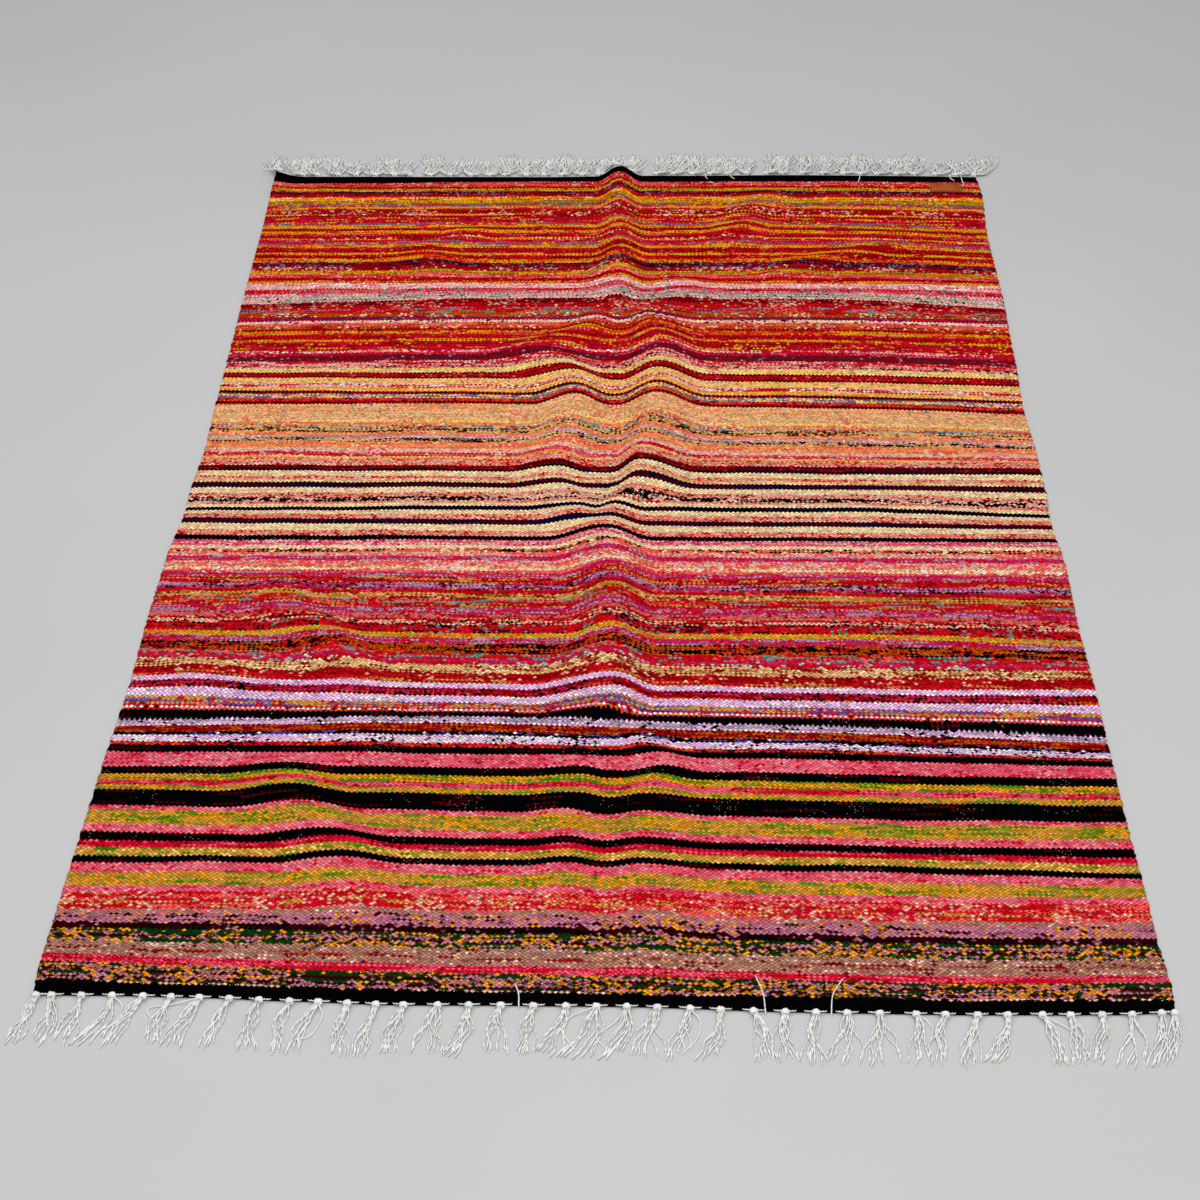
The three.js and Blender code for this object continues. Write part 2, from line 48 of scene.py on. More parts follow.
# Woven cloth
CLOTH_LENGTH = 2000
CLOTH_THICKNESS = 4
FOLDED_HALF = 200
FOLDED_STEP = 8
FLAT_STEP = 14
ROW_STEP = 4
RIM_ROUND = 0.9
UNDER_ROWS = 10
UNDER_COLUMNS = 4
EDGE_FADE = 500

# Selvedges: long waves, loops of weft that they shift, and ripples between the loops
SELVEDGE_COLUMNS = (3, 8)
SELVEDGE_WAVE = 1.3
SELVEDGE_FADE = 9
SLOW_WAVE = 57
LOOP_WAVE = 17.3
LOOP_SHIFT = 2.1
LOOP_SHARE = 0.6
RIPPLE_WAVE = 10.9
RIPPLE_SHIFT = 3.3
RIPPLE_SHARE = 0.4
LEFT_PHASE = 0.4
RIGHT_PHASE = 1.9

Width = namedtuple("Width", "along left right")
Past = namedtuple("Past", "across past")
Fold = namedtuple("Fold", "along crest rise left right")
Crease = namedtuple("Crease", "across along turn length width rise")
Bow = namedtuple("Bow", "stripe left right far_right")
Blend = namedtuple("Blend", "name main fleck flecked run accent accented specks", defaults=[0])
Spread = namedtuple("Spread", "low high to_low to_high")
Tassel = namedtuple("Tassel", "knot left middle right bow")
Lean = namedtuple("Lean", "across lean")
Tumble = namedtuple("Tumble", "ends yarn tips bends lengths tufts lift fan hug wing knot lean")
Flopped = namedtuple("Flopped", "across tip back")
Loop = namedtuple("Loop", "knot side out turn_side turn_out end_side end_out")
Light = namedtuple("Light", "name place target size power")


def rows(kind, *lines):
    """A table with named columns."""
    return [kind(*line) for line in lines]


OUTLINE = rows(
    Width,
    (0, 699, 697), (60, 701, 700), (230, 697, 692), (420, 695, 694), (600, 691, 690), (760, 688, 685),
    (900, 684, 690), (1000, 688, 690), (1060, 687, 687), (1170, 695, 694), (1300, 696, 692),
    (1450, 694, 695), (1640, 699, 695), (1880, 702, 699), (1960, 703, 703), (2000, 700, 701),
)
FAR_EDGE = rows(
    Past,
    (-700, 0), (-450, 2), (-200, 4), (100, 13), (350, 18), (550, 17), (700, 14),
)
NEAR_EDGE = rows(
    Past,
    (-700, -4), (-590, -5), (-490, -4), (-380, -1), (-255, 2), (-100, 0), (30, -1), (250, 3), (435, 3),
    (550, 1), (630, -1), (700, -5),
)

# Folds: where the crest lies at each place along, how high it rises and how far it spreads to either side
FAR_SPINE = rows(
    Fold,
    (0, -12, 23, 47, 45), (100, -12, 20, 46, 46), (200, -8, 18, 50, 50), (290, -7, 20, 52, 56),
    (350, -6, 19, 68, 54), (400, -6, 18, 76, 46), (425, -4, 14, 70, 40), (448, -4, 5, 44, 24),
    (475, -4, 0, 44, 24),
)
FAR_SPUR = rows(
    Fold,
    (345, 95, 0, 44, 80), (388, 96, 9, 46, 90), (425, 104, 6, 50, 80), (455, 90, 0, 50, 80),
)
MAIN_FOLD = rows(
    Fold,
    (430, 70, 0, 45, 70), (465, 64, 10, 48, 80), (502, 46, 16, 45, 90), (532, 56, 24, 58, 92),
    (600, 72, 28, 72, 80), (650, 66, 29, 66, 90), (750, 65, 29, 70, 85), (820, 60, 30, 64, 95),
    (862, 46, 26, 50, 100), (920, 36, 28, 42, 102), (972, 38, 29, 47, 96), (1005, 25, 21, 40, 98),
    (1032, 0, 13, 36, 50), (1070, -8, 18, 46, 60), (1110, -14, 27, 94, 76), (1165, -5, 27, 98, 76),
    (1200, -3, 29, 80, 80), (1270, 0, 29, 76, 66), (1340, 0, 26, 68, 68), (1410, -3, 28, 108, 76),
    (1447, 6, 29, 130, 66), (1477, 8, 27, 130, 60), (1497, 0, 19, 120, 56), (1514, -50, 5, 100, 60),
    (1532, -50, 0, 100, 60),
)
LEFT_FOLD = rows(
    Fold,
    (468, -40, 0, 60, 34), (506, -42, 10, 60, 35), (540, -60, 15, 70, 52), (572, -108, 13, 108, 90),
    (610, -138, 19, 120, 108), (650, -105, 21, 120, 76), (700, -76, 22, 100, 66), (750, -73, 24, 76, 62),
    (800, -75, 22, 76, 66), (850, -82, 21, 72, 66), (920, -95, 17, 86, 52), (975, -95, 11, 90, 46),
    (1028, -60, 8, 96, 40), (1070, -58, 15, 70, 44), (1108, -58, 0, 70, 44),
)
RIGHT_TAIL = rows(
    Fold,
    (1526, 45, 0, 40, 50), (1546, 45, 8, 42, 52), (1600, 82, 14, 58, 60), (1632, 65, 13, 56, 62),
    (1662, 52, 10, 48, 90), (1740, 50, 10, 50, 95), (1850, 46, 10, 46, 95), (1905, 46, 6, 50, 90),
    (1985, 46, 0, 50, 90),
)
LEFT_TAIL = rows(
    Fold,
    (1572, -30, 0, 80, 32), (1602, -30, 7, 80, 32), (1662, -36, 9, 90, 38), (1690, -50, 10, 74, 46),
    (1740, -46, 8, 62, 45), (1850, -50, 6, 70, 48), (1960, -50, 0, 70, 48),
)
QUARTER_FOLD = rows(
    Fold,
    (1205, -508, 0, 70, 60), (1240, -505, 9, 80, 60), (1280, -492, 11, 90, 70), (1330, -432, 14, 110, 74),
    (1355, -412, 17, 100, 70), (1388, -395, 18, 90, 70), (1412, -386, 10, 80, 80), (1445, -380, 5, 80, 80),
    (1485, -380, 0, 80, 80),
)
SIDE_SWELL = rows(
    Fold,
    (1375, -600, 0, 80, 90), (1412, -598, 8, 85, 95), (1468, -596, 6, 85, 95), (1505, -596, 0, 80, 90),
)
NEAR_FOLD = rows(
    Fold,
    (1582, -445, 0, 90, 80), (1616, -440, 10, 100, 80), (1650, -425, 17, 110, 84), (1682, -410, 18, 110, 86),
    (1722, -375, 17, 120, 86), (1756, -350, 16, 110, 90), (1820, -336, 11, 90, 90), (1848, -322, 7, 90, 90),
    (1885, -320, 0, 90, 90),
)
FAR_LEFT_RIPPLE = rows(
    Fold,
    (178, -300, 0, 50, 60), (226, -308, 8, 52, 62), (264, -372, 5, 80, 74), (306, -370, 10, 92, 80),
    (345, -350, 5, 90, 80), (380, -345, 0, 90, 80),
)
FAR_RIGHT_RIPPLE = rows(
    Fold,
    (45, 285, 0, 80, 50), (92, 280, 7, 84, 54), (150, 236, 12, 92, 62), (200, 226, 13, 84, 70),
    (236, 212, 7, 80, 70), (270, 210, 0, 80, 70),
)
RIGHT_RIPPLE = rows(
    Fold,
    (228, 500, 0, 100, 100), (258, 490, 7, 108, 108), (286, 422, 7, 96, 92), (306, 362, 9, 100, 82),
    (340, 312, 5, 80, 80), (382, 305, 0, 80, 80),
)
FOLDS = (
    FAR_SPINE, FAR_SPUR, MAIN_FOLD, LEFT_FOLD, RIGHT_TAIL, LEFT_TAIL, QUARTER_FOLD, SIDE_SWELL, NEAR_FOLD,
    FAR_LEFT_RIPPLE, FAR_RIGHT_RIPPLE, RIGHT_RIPPLE,
)
CORNER_RISE = 13
CORNER_ACROSS = 48
CORNER_ALONG = 110
CORNER_POWER = 1.6

# Soft creases in the cloth's face, too small to lift it
CREASE_FALL = 2
CREASES = rows(
    Crease,
    (-560, 120, 12, 150, 26, 1.6), (-470, 330, -14, 130, 24, 1.8), (480, 110, -10, 140, 26, 1.6),
    (560, 400, 16, 150, 28, 1.8), (-420, 620, 10, 160, 30, 1.6), (420, 700, -12, 180, 30, 1.8),
    (-540, 900, -8, 150, 30, 1.5), (500, 1010, 10, 170, 32, 1.6), (-330, 1120, 14, 140, 26, 1.8),
    (330, 1230, -16, 160, 28, 2.0), (560, 1380, 8, 160, 30, 1.8), (300, 1560, -12, 170, 30, 2.0),
    (540, 1700, 12, 170, 30, 1.6), (-560, 1800, -12, 150, 28, 1.8), (330, 1880, 8, 160, 28, 1.6),
)

# Weave: the distances between warps and between rows of weft, and how far the stripes stray from a straight
# line at four places across, with nothing at the second
WARP_PITCH = 3.65
PICK_PITCH = 2.6
BOW_ACROSS = (-605, -255, 435, 630)
BOW_SOFTENING = 60
BOWS = rows(
    Bow,
    (-60, 12, -9, -8), (14, 12, -9, -8), (41, 6, -11, -8), (73, 9, -6, -5), (108, 12, -8, 0),
    (153, 6, -2, 4), (190, 10, -5, 7), (232, 8, -7, 5), (268, 5, -10, 2), (318, 4, -12, 0),
    (355, 5, -8, 0), (389, 4, -6, -5), (434, 22, -5, 17), (496, 7, -6, 0), (504, 12, -6, 1),
    (560, 10, -2, 5), (612, 12, -4, 5), (657, 8, -5, 5), (688, 4, 5, 10), (726, 2, 5, 12),
    (764, 9, 7, 17), (830, 2, 0, 5), (887, 3, 3, 3), (931, 5, -6, -6), (949, 4, -1, -3), (977, 5, -2, -2),
    (1034, 10, -4, 7), (1070, 2, -1, 1), (1111, 3, -6, -7), (1132, 6, -8, -10), (1180, 4, -7, -7),
    (1244, 1, -2, -1), (1335, 0, -8, 0), (1441, -7, 0, -2), (1468, -8, 1, 3), (1493, 1, 4, 9),
    (1501, 3, 6, 11), (1507, 15, 16, 24), (1542, 8, 15, 19), (1567, 3, 7, 11), (1607, 6, 5, 6),
    (1657, 0, 5, 6), (1720, -2, 5, 4), (1767, 3, 3, 8), (1814, 6, 6, 2), (1855, 6, 8, 3),
    (1914, -1, 8, 5), (1941, -6, 7, 2), (1982, -6, 1, -2), (2060, -6, 1, -2),
)

# Yarn colours, as they look in even light, red, green and blue out of 255
YARNS = {
    "black": (4, 3, 4), "white": (250, 244, 236), "cream": (255, 224, 164), "straw": (255, 206, 104),
    "pale pink": (250, 182, 176), "dusty pink": (240, 184, 170), "salmon": (246, 122, 104),
    "dusty coral": (216, 108, 100), "apricot": (255, 150, 90), "coral": (252, 92, 84),
    "red": (206, 14, 26), "crimson": (214, 12, 44), "dark red": (150, 6, 10), "maroon": (78, 2, 12),
    "plum": (98, 22, 40), "wine": (52, 2, 10), "rose": (238, 88, 110), "magenta": (200, 36, 98),
    "mauve": (200, 118, 150), "mauve brown": (176, 122, 104), "lilac pink": (194, 114, 138),
    "lavender": (238, 186, 228), "lilac grey": (172, 150, 170), "purple": (136, 14, 76),
    "violet": (84, 70, 158), "navy": (10, 8, 46), "slate": (112, 104, 128), "teal": (60, 156, 150),
    "pale teal": (160, 216, 200), "blue": (60, 130, 176), "sage": (150, 164, 132), "green": (70, 134, 14),
    "forest": (8, 56, 12), "olive": (158, 136, 10), "mustard": (234, 172, 16), "gold": (224, 168, 20),
    "ochre": (208, 148, 58), "amber": (244, 152, 14), "orange": (255, 156, 10), "ember": (236, 76, 10),
    "burnt orange": (196, 84, 4), "tan": (230, 178, 116), "peach": (255, 192, 134), "brown": (44, 18, 8),
    "shell": (238, 182, 156), "pink": (248, 136, 146),
}
# Blends: the main yarn, a share of a second one in runs of that length, a share of a third one in single
# dots, and how many of the white warps peep through
BLENDS = {blend.name: blend for blend in rows(
    Blend,
    ("end black", "black", "black", 0, 40, "black", 0),
    ("black", "black", "maroon", 0.05, 40, "black", 0, 0.4),
    ("coral dots", "coral", "red", 0.4, 12, "shell", 0.08),
    ("dark red", "dark red", "red", 0.42, 40, "coral", 0.06),
    ("olive", "olive", "mustard", 0.45, 40, "red", 0.16),
    ("dusk", "navy", "dark red", 0.5, 26, "slate", 0.12, 0.04),
    ("bright orange", "orange", "red", 0.22, 40, "cream", 0.16),
    ("mustard ember", "mustard", "ember", 0.4, 120, "red", 0.26),
    ("slate crimson", "slate", "crimson", 0.5, 24, "mustard", 0.14),
    ("mustard", "mustard", "red", 0.32, 24, "orange", 0.2),
    ("pale dark red", "dark red", "red", 0.35, 30, "shell", 0.18, 0.3),
    ("orange line", "orange", "dark red", 0.5, 120, "cream", 0.12),
    ("crimson mustard", "crimson", "mustard", 0.18, 40, "dark red", 0.2),
    ("crimson", "crimson", "rose", 0.16, 30, "dark red", 0.14, 0.04),
    ("pale pink", "pale pink", "rose", 0.14, 20, "white", 0.14, 0.05),
    ("crimson teal", "crimson", "coral", 0.3, 30, "teal", 0.12),
    ("mauve pink", "mauve", "pale pink", 0.4, 24, "crimson", 0.1, 0.04),
    ("sage", "sage", "pale pink", 0.5, 22, "forest", 0.08),
    ("maroon red", "dark red", "maroon", 0.3, 40, "salmon", 0.2, 0.5),
    ("red cream", "red", "dark red", 0.3, 30, "shell", 0.14),
    ("red teal", "red", "teal", 0.22, 20, "coral", 0.16),
    ("burnt orange", "burnt orange", "dark red", 0.25, 30, "cream", 0.14, 0.05),
    ("purple", "purple", "crimson", 0.25, 40, "slate", 0.08, 0.04),
    ("straw", "straw", "cream", 0.3, 60, "salmon", 0.08, 0.02),
    ("coral", "coral", "red", 0.25, 40, "pale pink", 0.08, 0.04),
    ("coral cream", "coral", "shell", 0.3, 12, "pale pink", 0.2),
    ("mustard line", "mustard", "red", 0.5, 14, "orange", 0.1, 0.04),
    ("crimson dark", "crimson", "dark red", 0.45, 26, "mustard", 0.05, 0.05),
    ("pink crimson", "crimson", "pale pink", 0.4, 9, "white", 0.06, 0.04),
    ("plum", "plum", "dark red", 0.3, 40, "mauve", 0.05),
    ("red pink", "red", "pale pink", 0.32, 18, "coral", 0.14),
    ("ash red", "rose", "shell", 0.42, 12, "brown", 0.22),
    ("maroon", "maroon", "dark red", 0.25, 30, "crimson", 0.05, 0.06),
    ("straw peach", "straw", "peach", 0.4, 60, "coral", 0.05, 0.02),
    ("pink runs", "crimson", "pale pink", 0.4, 40, "white", 0.12, 0.03),
    ("teal straw", "slate", "straw", 0.4, 20, "pale pink", 0.2, 0.03),
    ("ember dots", "ember", "crimson", 0.5, 10, "maroon", 0.12, 0.03),
    ("peach orange", "peach", "apricot", 0.4, 70, "teal", 0.05, 0.02),
    ("peach tan", "peach", "tan", 0.35, 40, "salmon", 0.14, 0.02),
    ("straw orange", "straw", "orange", 0.35, 80, "salmon", 0.06, 0.02),
    ("blue dots", "tan", "blue", 0.3, 12, "red", 0.25, 0.02),
    ("brown tan", "tan", "brown", 0.42, 10, "apricot", 0.14, 0.02),
    ("apricot", "apricot", "coral", 0.25, 40, "cream", 0.06, 0.02),
    ("lilac grey", "lilac grey", "lavender", 0.4, 20, "tan", 0.2, 0.02),
    ("black tan", "tan", "black", 0.48, 12, "apricot", 0.12, 0.02),
    ("dusty pink", "dusty pink", "peach", 0.3, 40, "rose", 0.1, 0.02),
    ("crimson pink", "crimson", "rose", 0.4, 30, "pale pink", 0.12, 0.03),
    ("salmon white", "salmon", "shell", 0.4, 14, "red", 0.2),
    ("salmon cream", "salmon", "shell", 0.4, 14, "dark red", 0.2),
    ("navy", "navy", "black", 0.5, 60, "maroon", 0.06, 0.1),
    ("navy maroon", "navy", "maroon", 0.42, 50, "black", 0.12, 0.06),
    ("cream", "cream", "shell", 0.2, 40, "white", 0.04),
    ("tan", "tan", "cream", 0.3, 20, "salmon", 0.12, 0.02),
    ("black white", "black", "shell", 0.28, 12, "dusty pink", 0.14, 0.2),
    ("cream pink", "cream", "pale pink", 0.4, 16, "maroon", 0.1),
    ("rose pale", "rose", "pale pink", 0.4, 14, "magenta", 0.16, 0.03),
    ("black red", "coral", "black", 0.4, 14, "cream", 0.16),
    ("magenta grey", "magenta", "lilac grey", 0.25, 30, "crimson", 0.3),
    ("cream dots", "cream", "coral", 0.35, 9, "white", 0.1),
    ("red ochre", "red", "ochre", 0.26, 40, "dark red", 0.25),
    ("grey mauve", "magenta", "lilac grey", 0.45, 24, "maroon", 0.25),
    ("mauve black", "magenta", "black", 0.3, 12, "ochre", 0.12, 0.04),
    ("red", "red", "dark red", 0.25, 40, "coral", 0.08, 0.05),
    ("ochre tan", "ochre", "dark red", 0.4, 30, "tan", 0.2),
    ("mauve grey", "magenta", "lilac grey", 0.32, 26, "red", 0.3),
    ("dusty coral", "dusty coral", "red", 0.3, 30, "dark red", 0.16),
    ("red tan", "red", "tan", 0.22, 12, "black", 0.1),
    ("cream dark", "dark red", "shell", 0.46, 12, "black", 0.14),
    ("red black", "red", "black", 0.22, 14, "teal", 0.08, 0.05),
    ("gold", "ochre", "gold", 0.4, 60, "ember", 0.14),
    ("black ember", "black", "burnt orange", 0.4, 14, "red", 0.2),
    ("magenta", "magenta", "crimson", 0.3, 30, "pale teal", 0.06, 0.03),
    ("red pale teal", "red", "pale teal", 0.18, 9, "magenta", 0.14, 0.04),
    ("tan cream", "tan", "dark red", 0.4, 14, "cream", 0.16),
    ("dark red cream", "dark red", "red", 0.35, 30, "shell", 0.08),
    ("lavender", "lavender", "white", 0.14, 20, "lilac grey", 0.05),
    ("magenta dark", "dark red", "magenta", 0.35, 12, "black", 0.1, 0.05),
    ("ember black", "dark red", "ember", 0.3, 10, "black", 0.25, 0.04),
    ("ochre violet", "ochre", "violet", 0.35, 60, "red", 0.18, 0.03),
    ("lavender white", "lavender", "white", 0.3, 16, "maroon", 0.12),
    ("ember", "ember", "red", 0.3, 40, "black", 0.05, 0.03),
    ("lavender grey", "lilac grey", "lavender", 0.4, 26, "black", 0.14),
    ("dark red orange", "dark red", "burnt orange", 0.32, 16, "black", 0.1, 0.05),
    ("black violet", "black", "violet", 0.2, 10, "white", 0.03, 0.06),
    ("lavender check", "lavender", "white", 0.3, 14, "black", 0.18),
    ("red dots", "red", "ember", 0.3, 9, "black", 0.22, 0.05),
    ("rose", "rose", "crimson", 0.2, 12, "pink", 0.3),
    ("rose crimson", "rose", "crimson", 0.42, 26, "dark red", 0.06, 0.03),
    ("ochre green", "ochre", "green", 0.3, 30, "amber", 0.2),
    ("green ochre", "green", "amber", 0.5, 40, "ochre", 0.2),
    ("ochre", "ochre", "green", 0.16, 30, "straw", 0.16),
    ("crimson cream", "red", "coral", 0.36, 18, "shell", 0.14),
    ("ochre dashes", "crimson", "ochre", 0.3, 34, "shell", 0.14),
    ("mauve brown", "mauve brown", "rose", 0.2, 20, "dusty pink", 0.1, 0.03),
    ("lilac specks", "lilac pink", "wine", 0.22, 10, "amber", 0.16),
    ("wine", "wine", "black", 0.4, 20, "lilac pink", 0.08),
    ("autumn", "forest", "amber", 0.28, 8, "lilac pink", 0.14),
    ("autumn wine", "wine", "lilac pink", 0.26, 8, "amber", 0.2),
    ("autumn lilac", "forest", "lilac pink", 0.34, 8, "amber", 0.14),
    ("band teeth", "black", "shell", 0.3, 7, "amber", 0.1),
    ("mauve tan", "mauve brown", "dusty pink", 0.14, 8, "plum", 0.08),
    ("mauve dashes", "mauve brown", "dark red", 0.35, 30, "tan", 0.1, 0.02),
    ("crimson rose", "crimson", "rose", 0.45, 28, "dark red", 0.06, 0.02),
)}
# Stripes from the far end: where each starts and its blend
STRIPES = (
    (-80, "end black"), (16, "coral dots"), (33, "dark red"), (41, "olive"), (52, "dusk"),
    (64, "dark red"), (74, "bright orange"), (86, "olive"), (96, "slate crimson"), (109, "mustard"),
    (118, "crimson"), (121, "pale dark red"), (137, "orange line"), (143, "dark red"),
    (152, "crimson mustard"), (169, "slate crimson"), (177, "mustard"), (187, "dark red"),
    (199, "mustard"), (209, "crimson"), (216, "dark red"), (225, "orange line"), (232, "crimson"),
    (244, "slate crimson"), (251, "mustard"), (262, "dark red"), (280, "mustard"), (290, "dark red"),
    (303, "mustard ember"), (315, "dusk"), (331, "pale dark red"), (345, "olive"), (353, "coral"),
    (366, "dark red"), (377, "mustard ember"), (387, "pale pink"), (400, "crimson teal"),
    (411, "mauve pink"), (419, "sage"), (431, "pale pink"), (436, "maroon red"), (451, "red cream"),
    (464, "red teal"), (480, "burnt orange"), (496, "purple"), (505, "cream pink"), (514, "coral"),
    (524, "burnt orange"), (532, "dark red"), (539, "mustard ember"), (549, "crimson"), (556, "dark red"),
    (566, "mustard line"), (573, "crimson dark"), (588, "crimson mustard"), (598, "pink crimson"),
    (607, "crimson"), (613, "plum"), (632, "red pink"), (646, "ash red"), (657, "straw"), (668, "maroon"),
    (673, "dark red"), (682, "maroon"), (687, "straw peach"), (705, "pink runs"), (716, "straw orange"),
    (726, "maroon"), (735, "teal straw"), (744, "ember dots"), (751, "maroon"), (760, "peach orange"),
    (780, "peach tan"), (806, "straw"), (815, "apricot"), (822, "blue dots"), (829, "brown tan"),
    (843, "apricot"), (853, "lilac grey"), (858, "black tan"), (870, "apricot"), (887, "dusty pink"),
    (898, "crimson pink"), (908, "straw orange"), (914, "salmon white"), (931, "maroon"), (941, "navy"),
    (948, "cream"), (962, "salmon white"), (969, "tan"), (977, "navy maroon"), (989, "cream"),
    (1001, "salmon cream"), (1012, "black white"), (1022, "salmon white"), (1028, "cream"),
    (1034, "navy"), (1045, "cream"), (1057, "salmon white"), (1070, "navy maroon"), (1083, "cream"),
    (1098, "salmon white"), (1110, "black"), (1121, "rose pale"), (1133, "cream"), (1143, "black red"),
    (1151, "coral cream"), (1161, "magenta grey"), (1172, "coral cream"), (1187, "cream dots"),
    (1195, "coral"), (1200, "magenta grey"), (1210, "red ochre"), (1222, "grey mauve"),
    (1232, "mauve black"), (1238, "red"), (1246, "ochre tan"), (1258, "red teal"), (1270, "red ochre"),
    (1276, "mauve grey"), (1293, "dusty coral"), (1303, "red tan"), (1310, "cream dark"),
    (1317, "red black"), (1335, "gold"), (1346, "mauve grey"), (1357, "black ember"), (1378, "red teal"),
    (1391, "magenta"), (1397, "red pale teal"), (1403, "tan cream"), (1420, "dark red cream"),
    (1434, "red ochre"), (1441, "lavender"), (1452, "magenta dark"), (1463, "ember black"),
    (1468, "lavender"), (1481, "ochre violet"), (1490, "red"), (1492, "lavender white"), (1496, "ember"),
    (1498, "black"), (1507, "lavender grey"), (1516, "lavender white"), (1520, "dark red orange"),
    (1535, "black violet"), (1542, "lavender check"), (1557, "red dots"), (1566, "black"), (1579, "rose"),
    (1605, "black"), (1622, "green ochre"), (1633, "rose crimson"), (1645, "ochre green"),
    (1655, "black"), (1684, "rose"), (1693, "ochre green"), (1720, "rose"), (1731, "black"),
    (1746, "crimson"), (1756, "ochre"), (1768, "black"), (1780, "rose"), (1794, "ochre green"),
    (1815, "rose"), (1827, "crimson cream"), (1838, "ochre dashes"), (1846, "crimson cream"),
    (1856, "mauve brown"), (1863, "lilac specks"), (1881, "wine"), (1891, "autumn"),
    (1896, "autumn lilac"), (1900, "autumn wine"), (1905, "autumn"), (1909, "autumn lilac"),
    (1911, "autumn"), (1915, "mauve tan"), (1925, "mauve dashes"), (1931, "mauve tan"),
    (1940, "crimson rose"), (1953, "autumn"), (1958, "autumn lilac"), (1962, "autumn wine"),
    (1966, "autumn"), (1970, "autumn lilac"), (1973, "autumn wine"), (1976, "autumn lilac"),
    (1979, "band teeth"), (1982, "end black"),
)
STRIPES_PER_RAMP = 30
LONGEST_RUN = 200
RUN_SHIFT = 37
WARP_WHITE = (165, 152, 140)

# Clouds that vary the weave, by how many there are to a metre or to a warp
WAVERS_PER_METRE = 8.0
REGIONS_PER_METRE = 14.0
DRIFTS_PER_METRE = 5.0
GRAINS_PER_WARP = 1.1
GRAIN_STRETCH = 1.2
FIBRES_PER_METRE = 1400.0
# What a cloud, a throw of the dice or a bead's height becomes: the rows' waver, how ragged, drifting and
# clustered the yarns are, how the beads' tone varies at random, the painted shade in the gaps between beads,
# and how the warps peep through
WAVER = Spread(0, 1, -3.0 * MM, 3.0 * MM)
RAGGED = Spread(0.34, 0.66, 0.4, 1.6)
DRIFT = Spread(0.35, 0.65, 0.1, 1.9)
CLUSTERED = Spread(0.38, 0.62, 0.2, 1.8)
UNEVEN = Spread(0, 1, 0.7, 1.3)
TWIST = Spread(0.3, 0.7, 0.66, 1.36)
# Painted shade: a bead's height darkens the colour in the gaps between beads and lifts it a little on the
# crowns
GAP_PAINTED_SHADE = Spread(0.0, 0.4, 0.35, 1.05)
PEEPING = Spread(0.54, 0.66, 0, 0.6)
CLOUD_TONE = Spread(0.3, 0.7, 0, 1)
# Offsets that keep the throws for runs, shades and peeping warps apart
RUN_DICE = 0.5
SHADE_DICE = 0.3
PEEP_DICE = 0.7
BEAD_TIP = 0.78
BEAD_HEIGHT = 1.2
FIBRE_SHARE = 0.25

# Other finishes: their darkest and lightest shades out of 255
FRINGE_SHADES = ((224, 223, 220), (242, 242, 240))
LEATHER_SHADES = ((150, 68, 10), (180, 90, 20))
LEATHER_ROUGHNESS = Spread(0, 1, 0.5, 0.68)
LEATHER_GRAINS_PER_METRE = 900.0
THREAD_SHADES = ((176, 112, 52), (206, 148, 86))
FLOOR_SHADES = ((191, 191, 191), (195, 195, 195))
# The sockets of a colour mix: its share, its two colours and the mixed one
COLOUR_MIX_INPUTS = (0, 6, 7)
COLOUR_MIX_OUTPUT = 2

# Fringe: the warp ends are gathered from the cloth's edge into knots, and lie on the floor in tassels
FAR_KNOTS = 38
FAR_KNOT_MARGIN = 11
FAR_KNOT_DRIFT = 5
FAR_FAN = 9
FAR_FAN_DRIFT = 0.3
FAR_BOW = 5
LOCKS = ("left", "middle", "right")
LOCK_REACH = 58
LOCK_REACH_SPREAD = 13
# How the yarns of a tassel tumble: their number and thickness, the scatter of their tips, bends and lengths,
# that of whole tufts, how far they lift off the floor, how soon they fan out and leave the edge, how high
# they lie at the edge and in the knot, and how far whole tassels lean
FAR_TUMBLE = Tumble(
    ends=26, yarn=1.0, tips=23, bends=6, lengths=12, tufts=13, lift=6, fan=0.4, hug=1.3, wing=1.4, knot=4.6,
    lean=13,
)
NEAR_TUMBLE = Tumble(
    ends=8, yarn=0.95, tips=7.5, bends=5, lengths=5, tufts=0, lift=1.5, fan=1, hug=1, wing=4.2, knot=6.4,
    lean=0,
)
# From the edge to the knot
GATHER_HALF = 14
GATHER_INSIDE = 2
GATHER_MARGIN = 1
WING_START = 0.6
WING_TURN = 0.15
WING_OUT = 0.6
WING_POINTS = 3
WING_YARN = 0.7
NECK_GATHER = 0.4
NECK_OUT = 1.6
NECK_RISE = 0.8
KNOT_GATHER = 0.12
KNOT_OUT = 3.8
KNOT_SAG = 1
KNOT_TURNS = 1.7
KNOT_WRAP_RADIUS = 3.3
KNOT_WRAP_LENGTH = 4.2
KNOT_FLATNESS = 0.75
KNOT_YARN = 2.1
KNOT_STEPS = 18
# From the knot to the tip
END_YARN = 0.95
TIP_YARN = 1.4
END_STEPS = 12
FIRST_SHARE = 0.12
LOWEST_LAYER = 1.1
LAYER_SPREAD = 1.8
BENDS_SPREAD = 0.6
SAG_REACH = 42
PLIES = 3
PLY_INNER = 0.9
PLY_OUTER = 1.0
PLY_TURNS_PER_METRE = 25
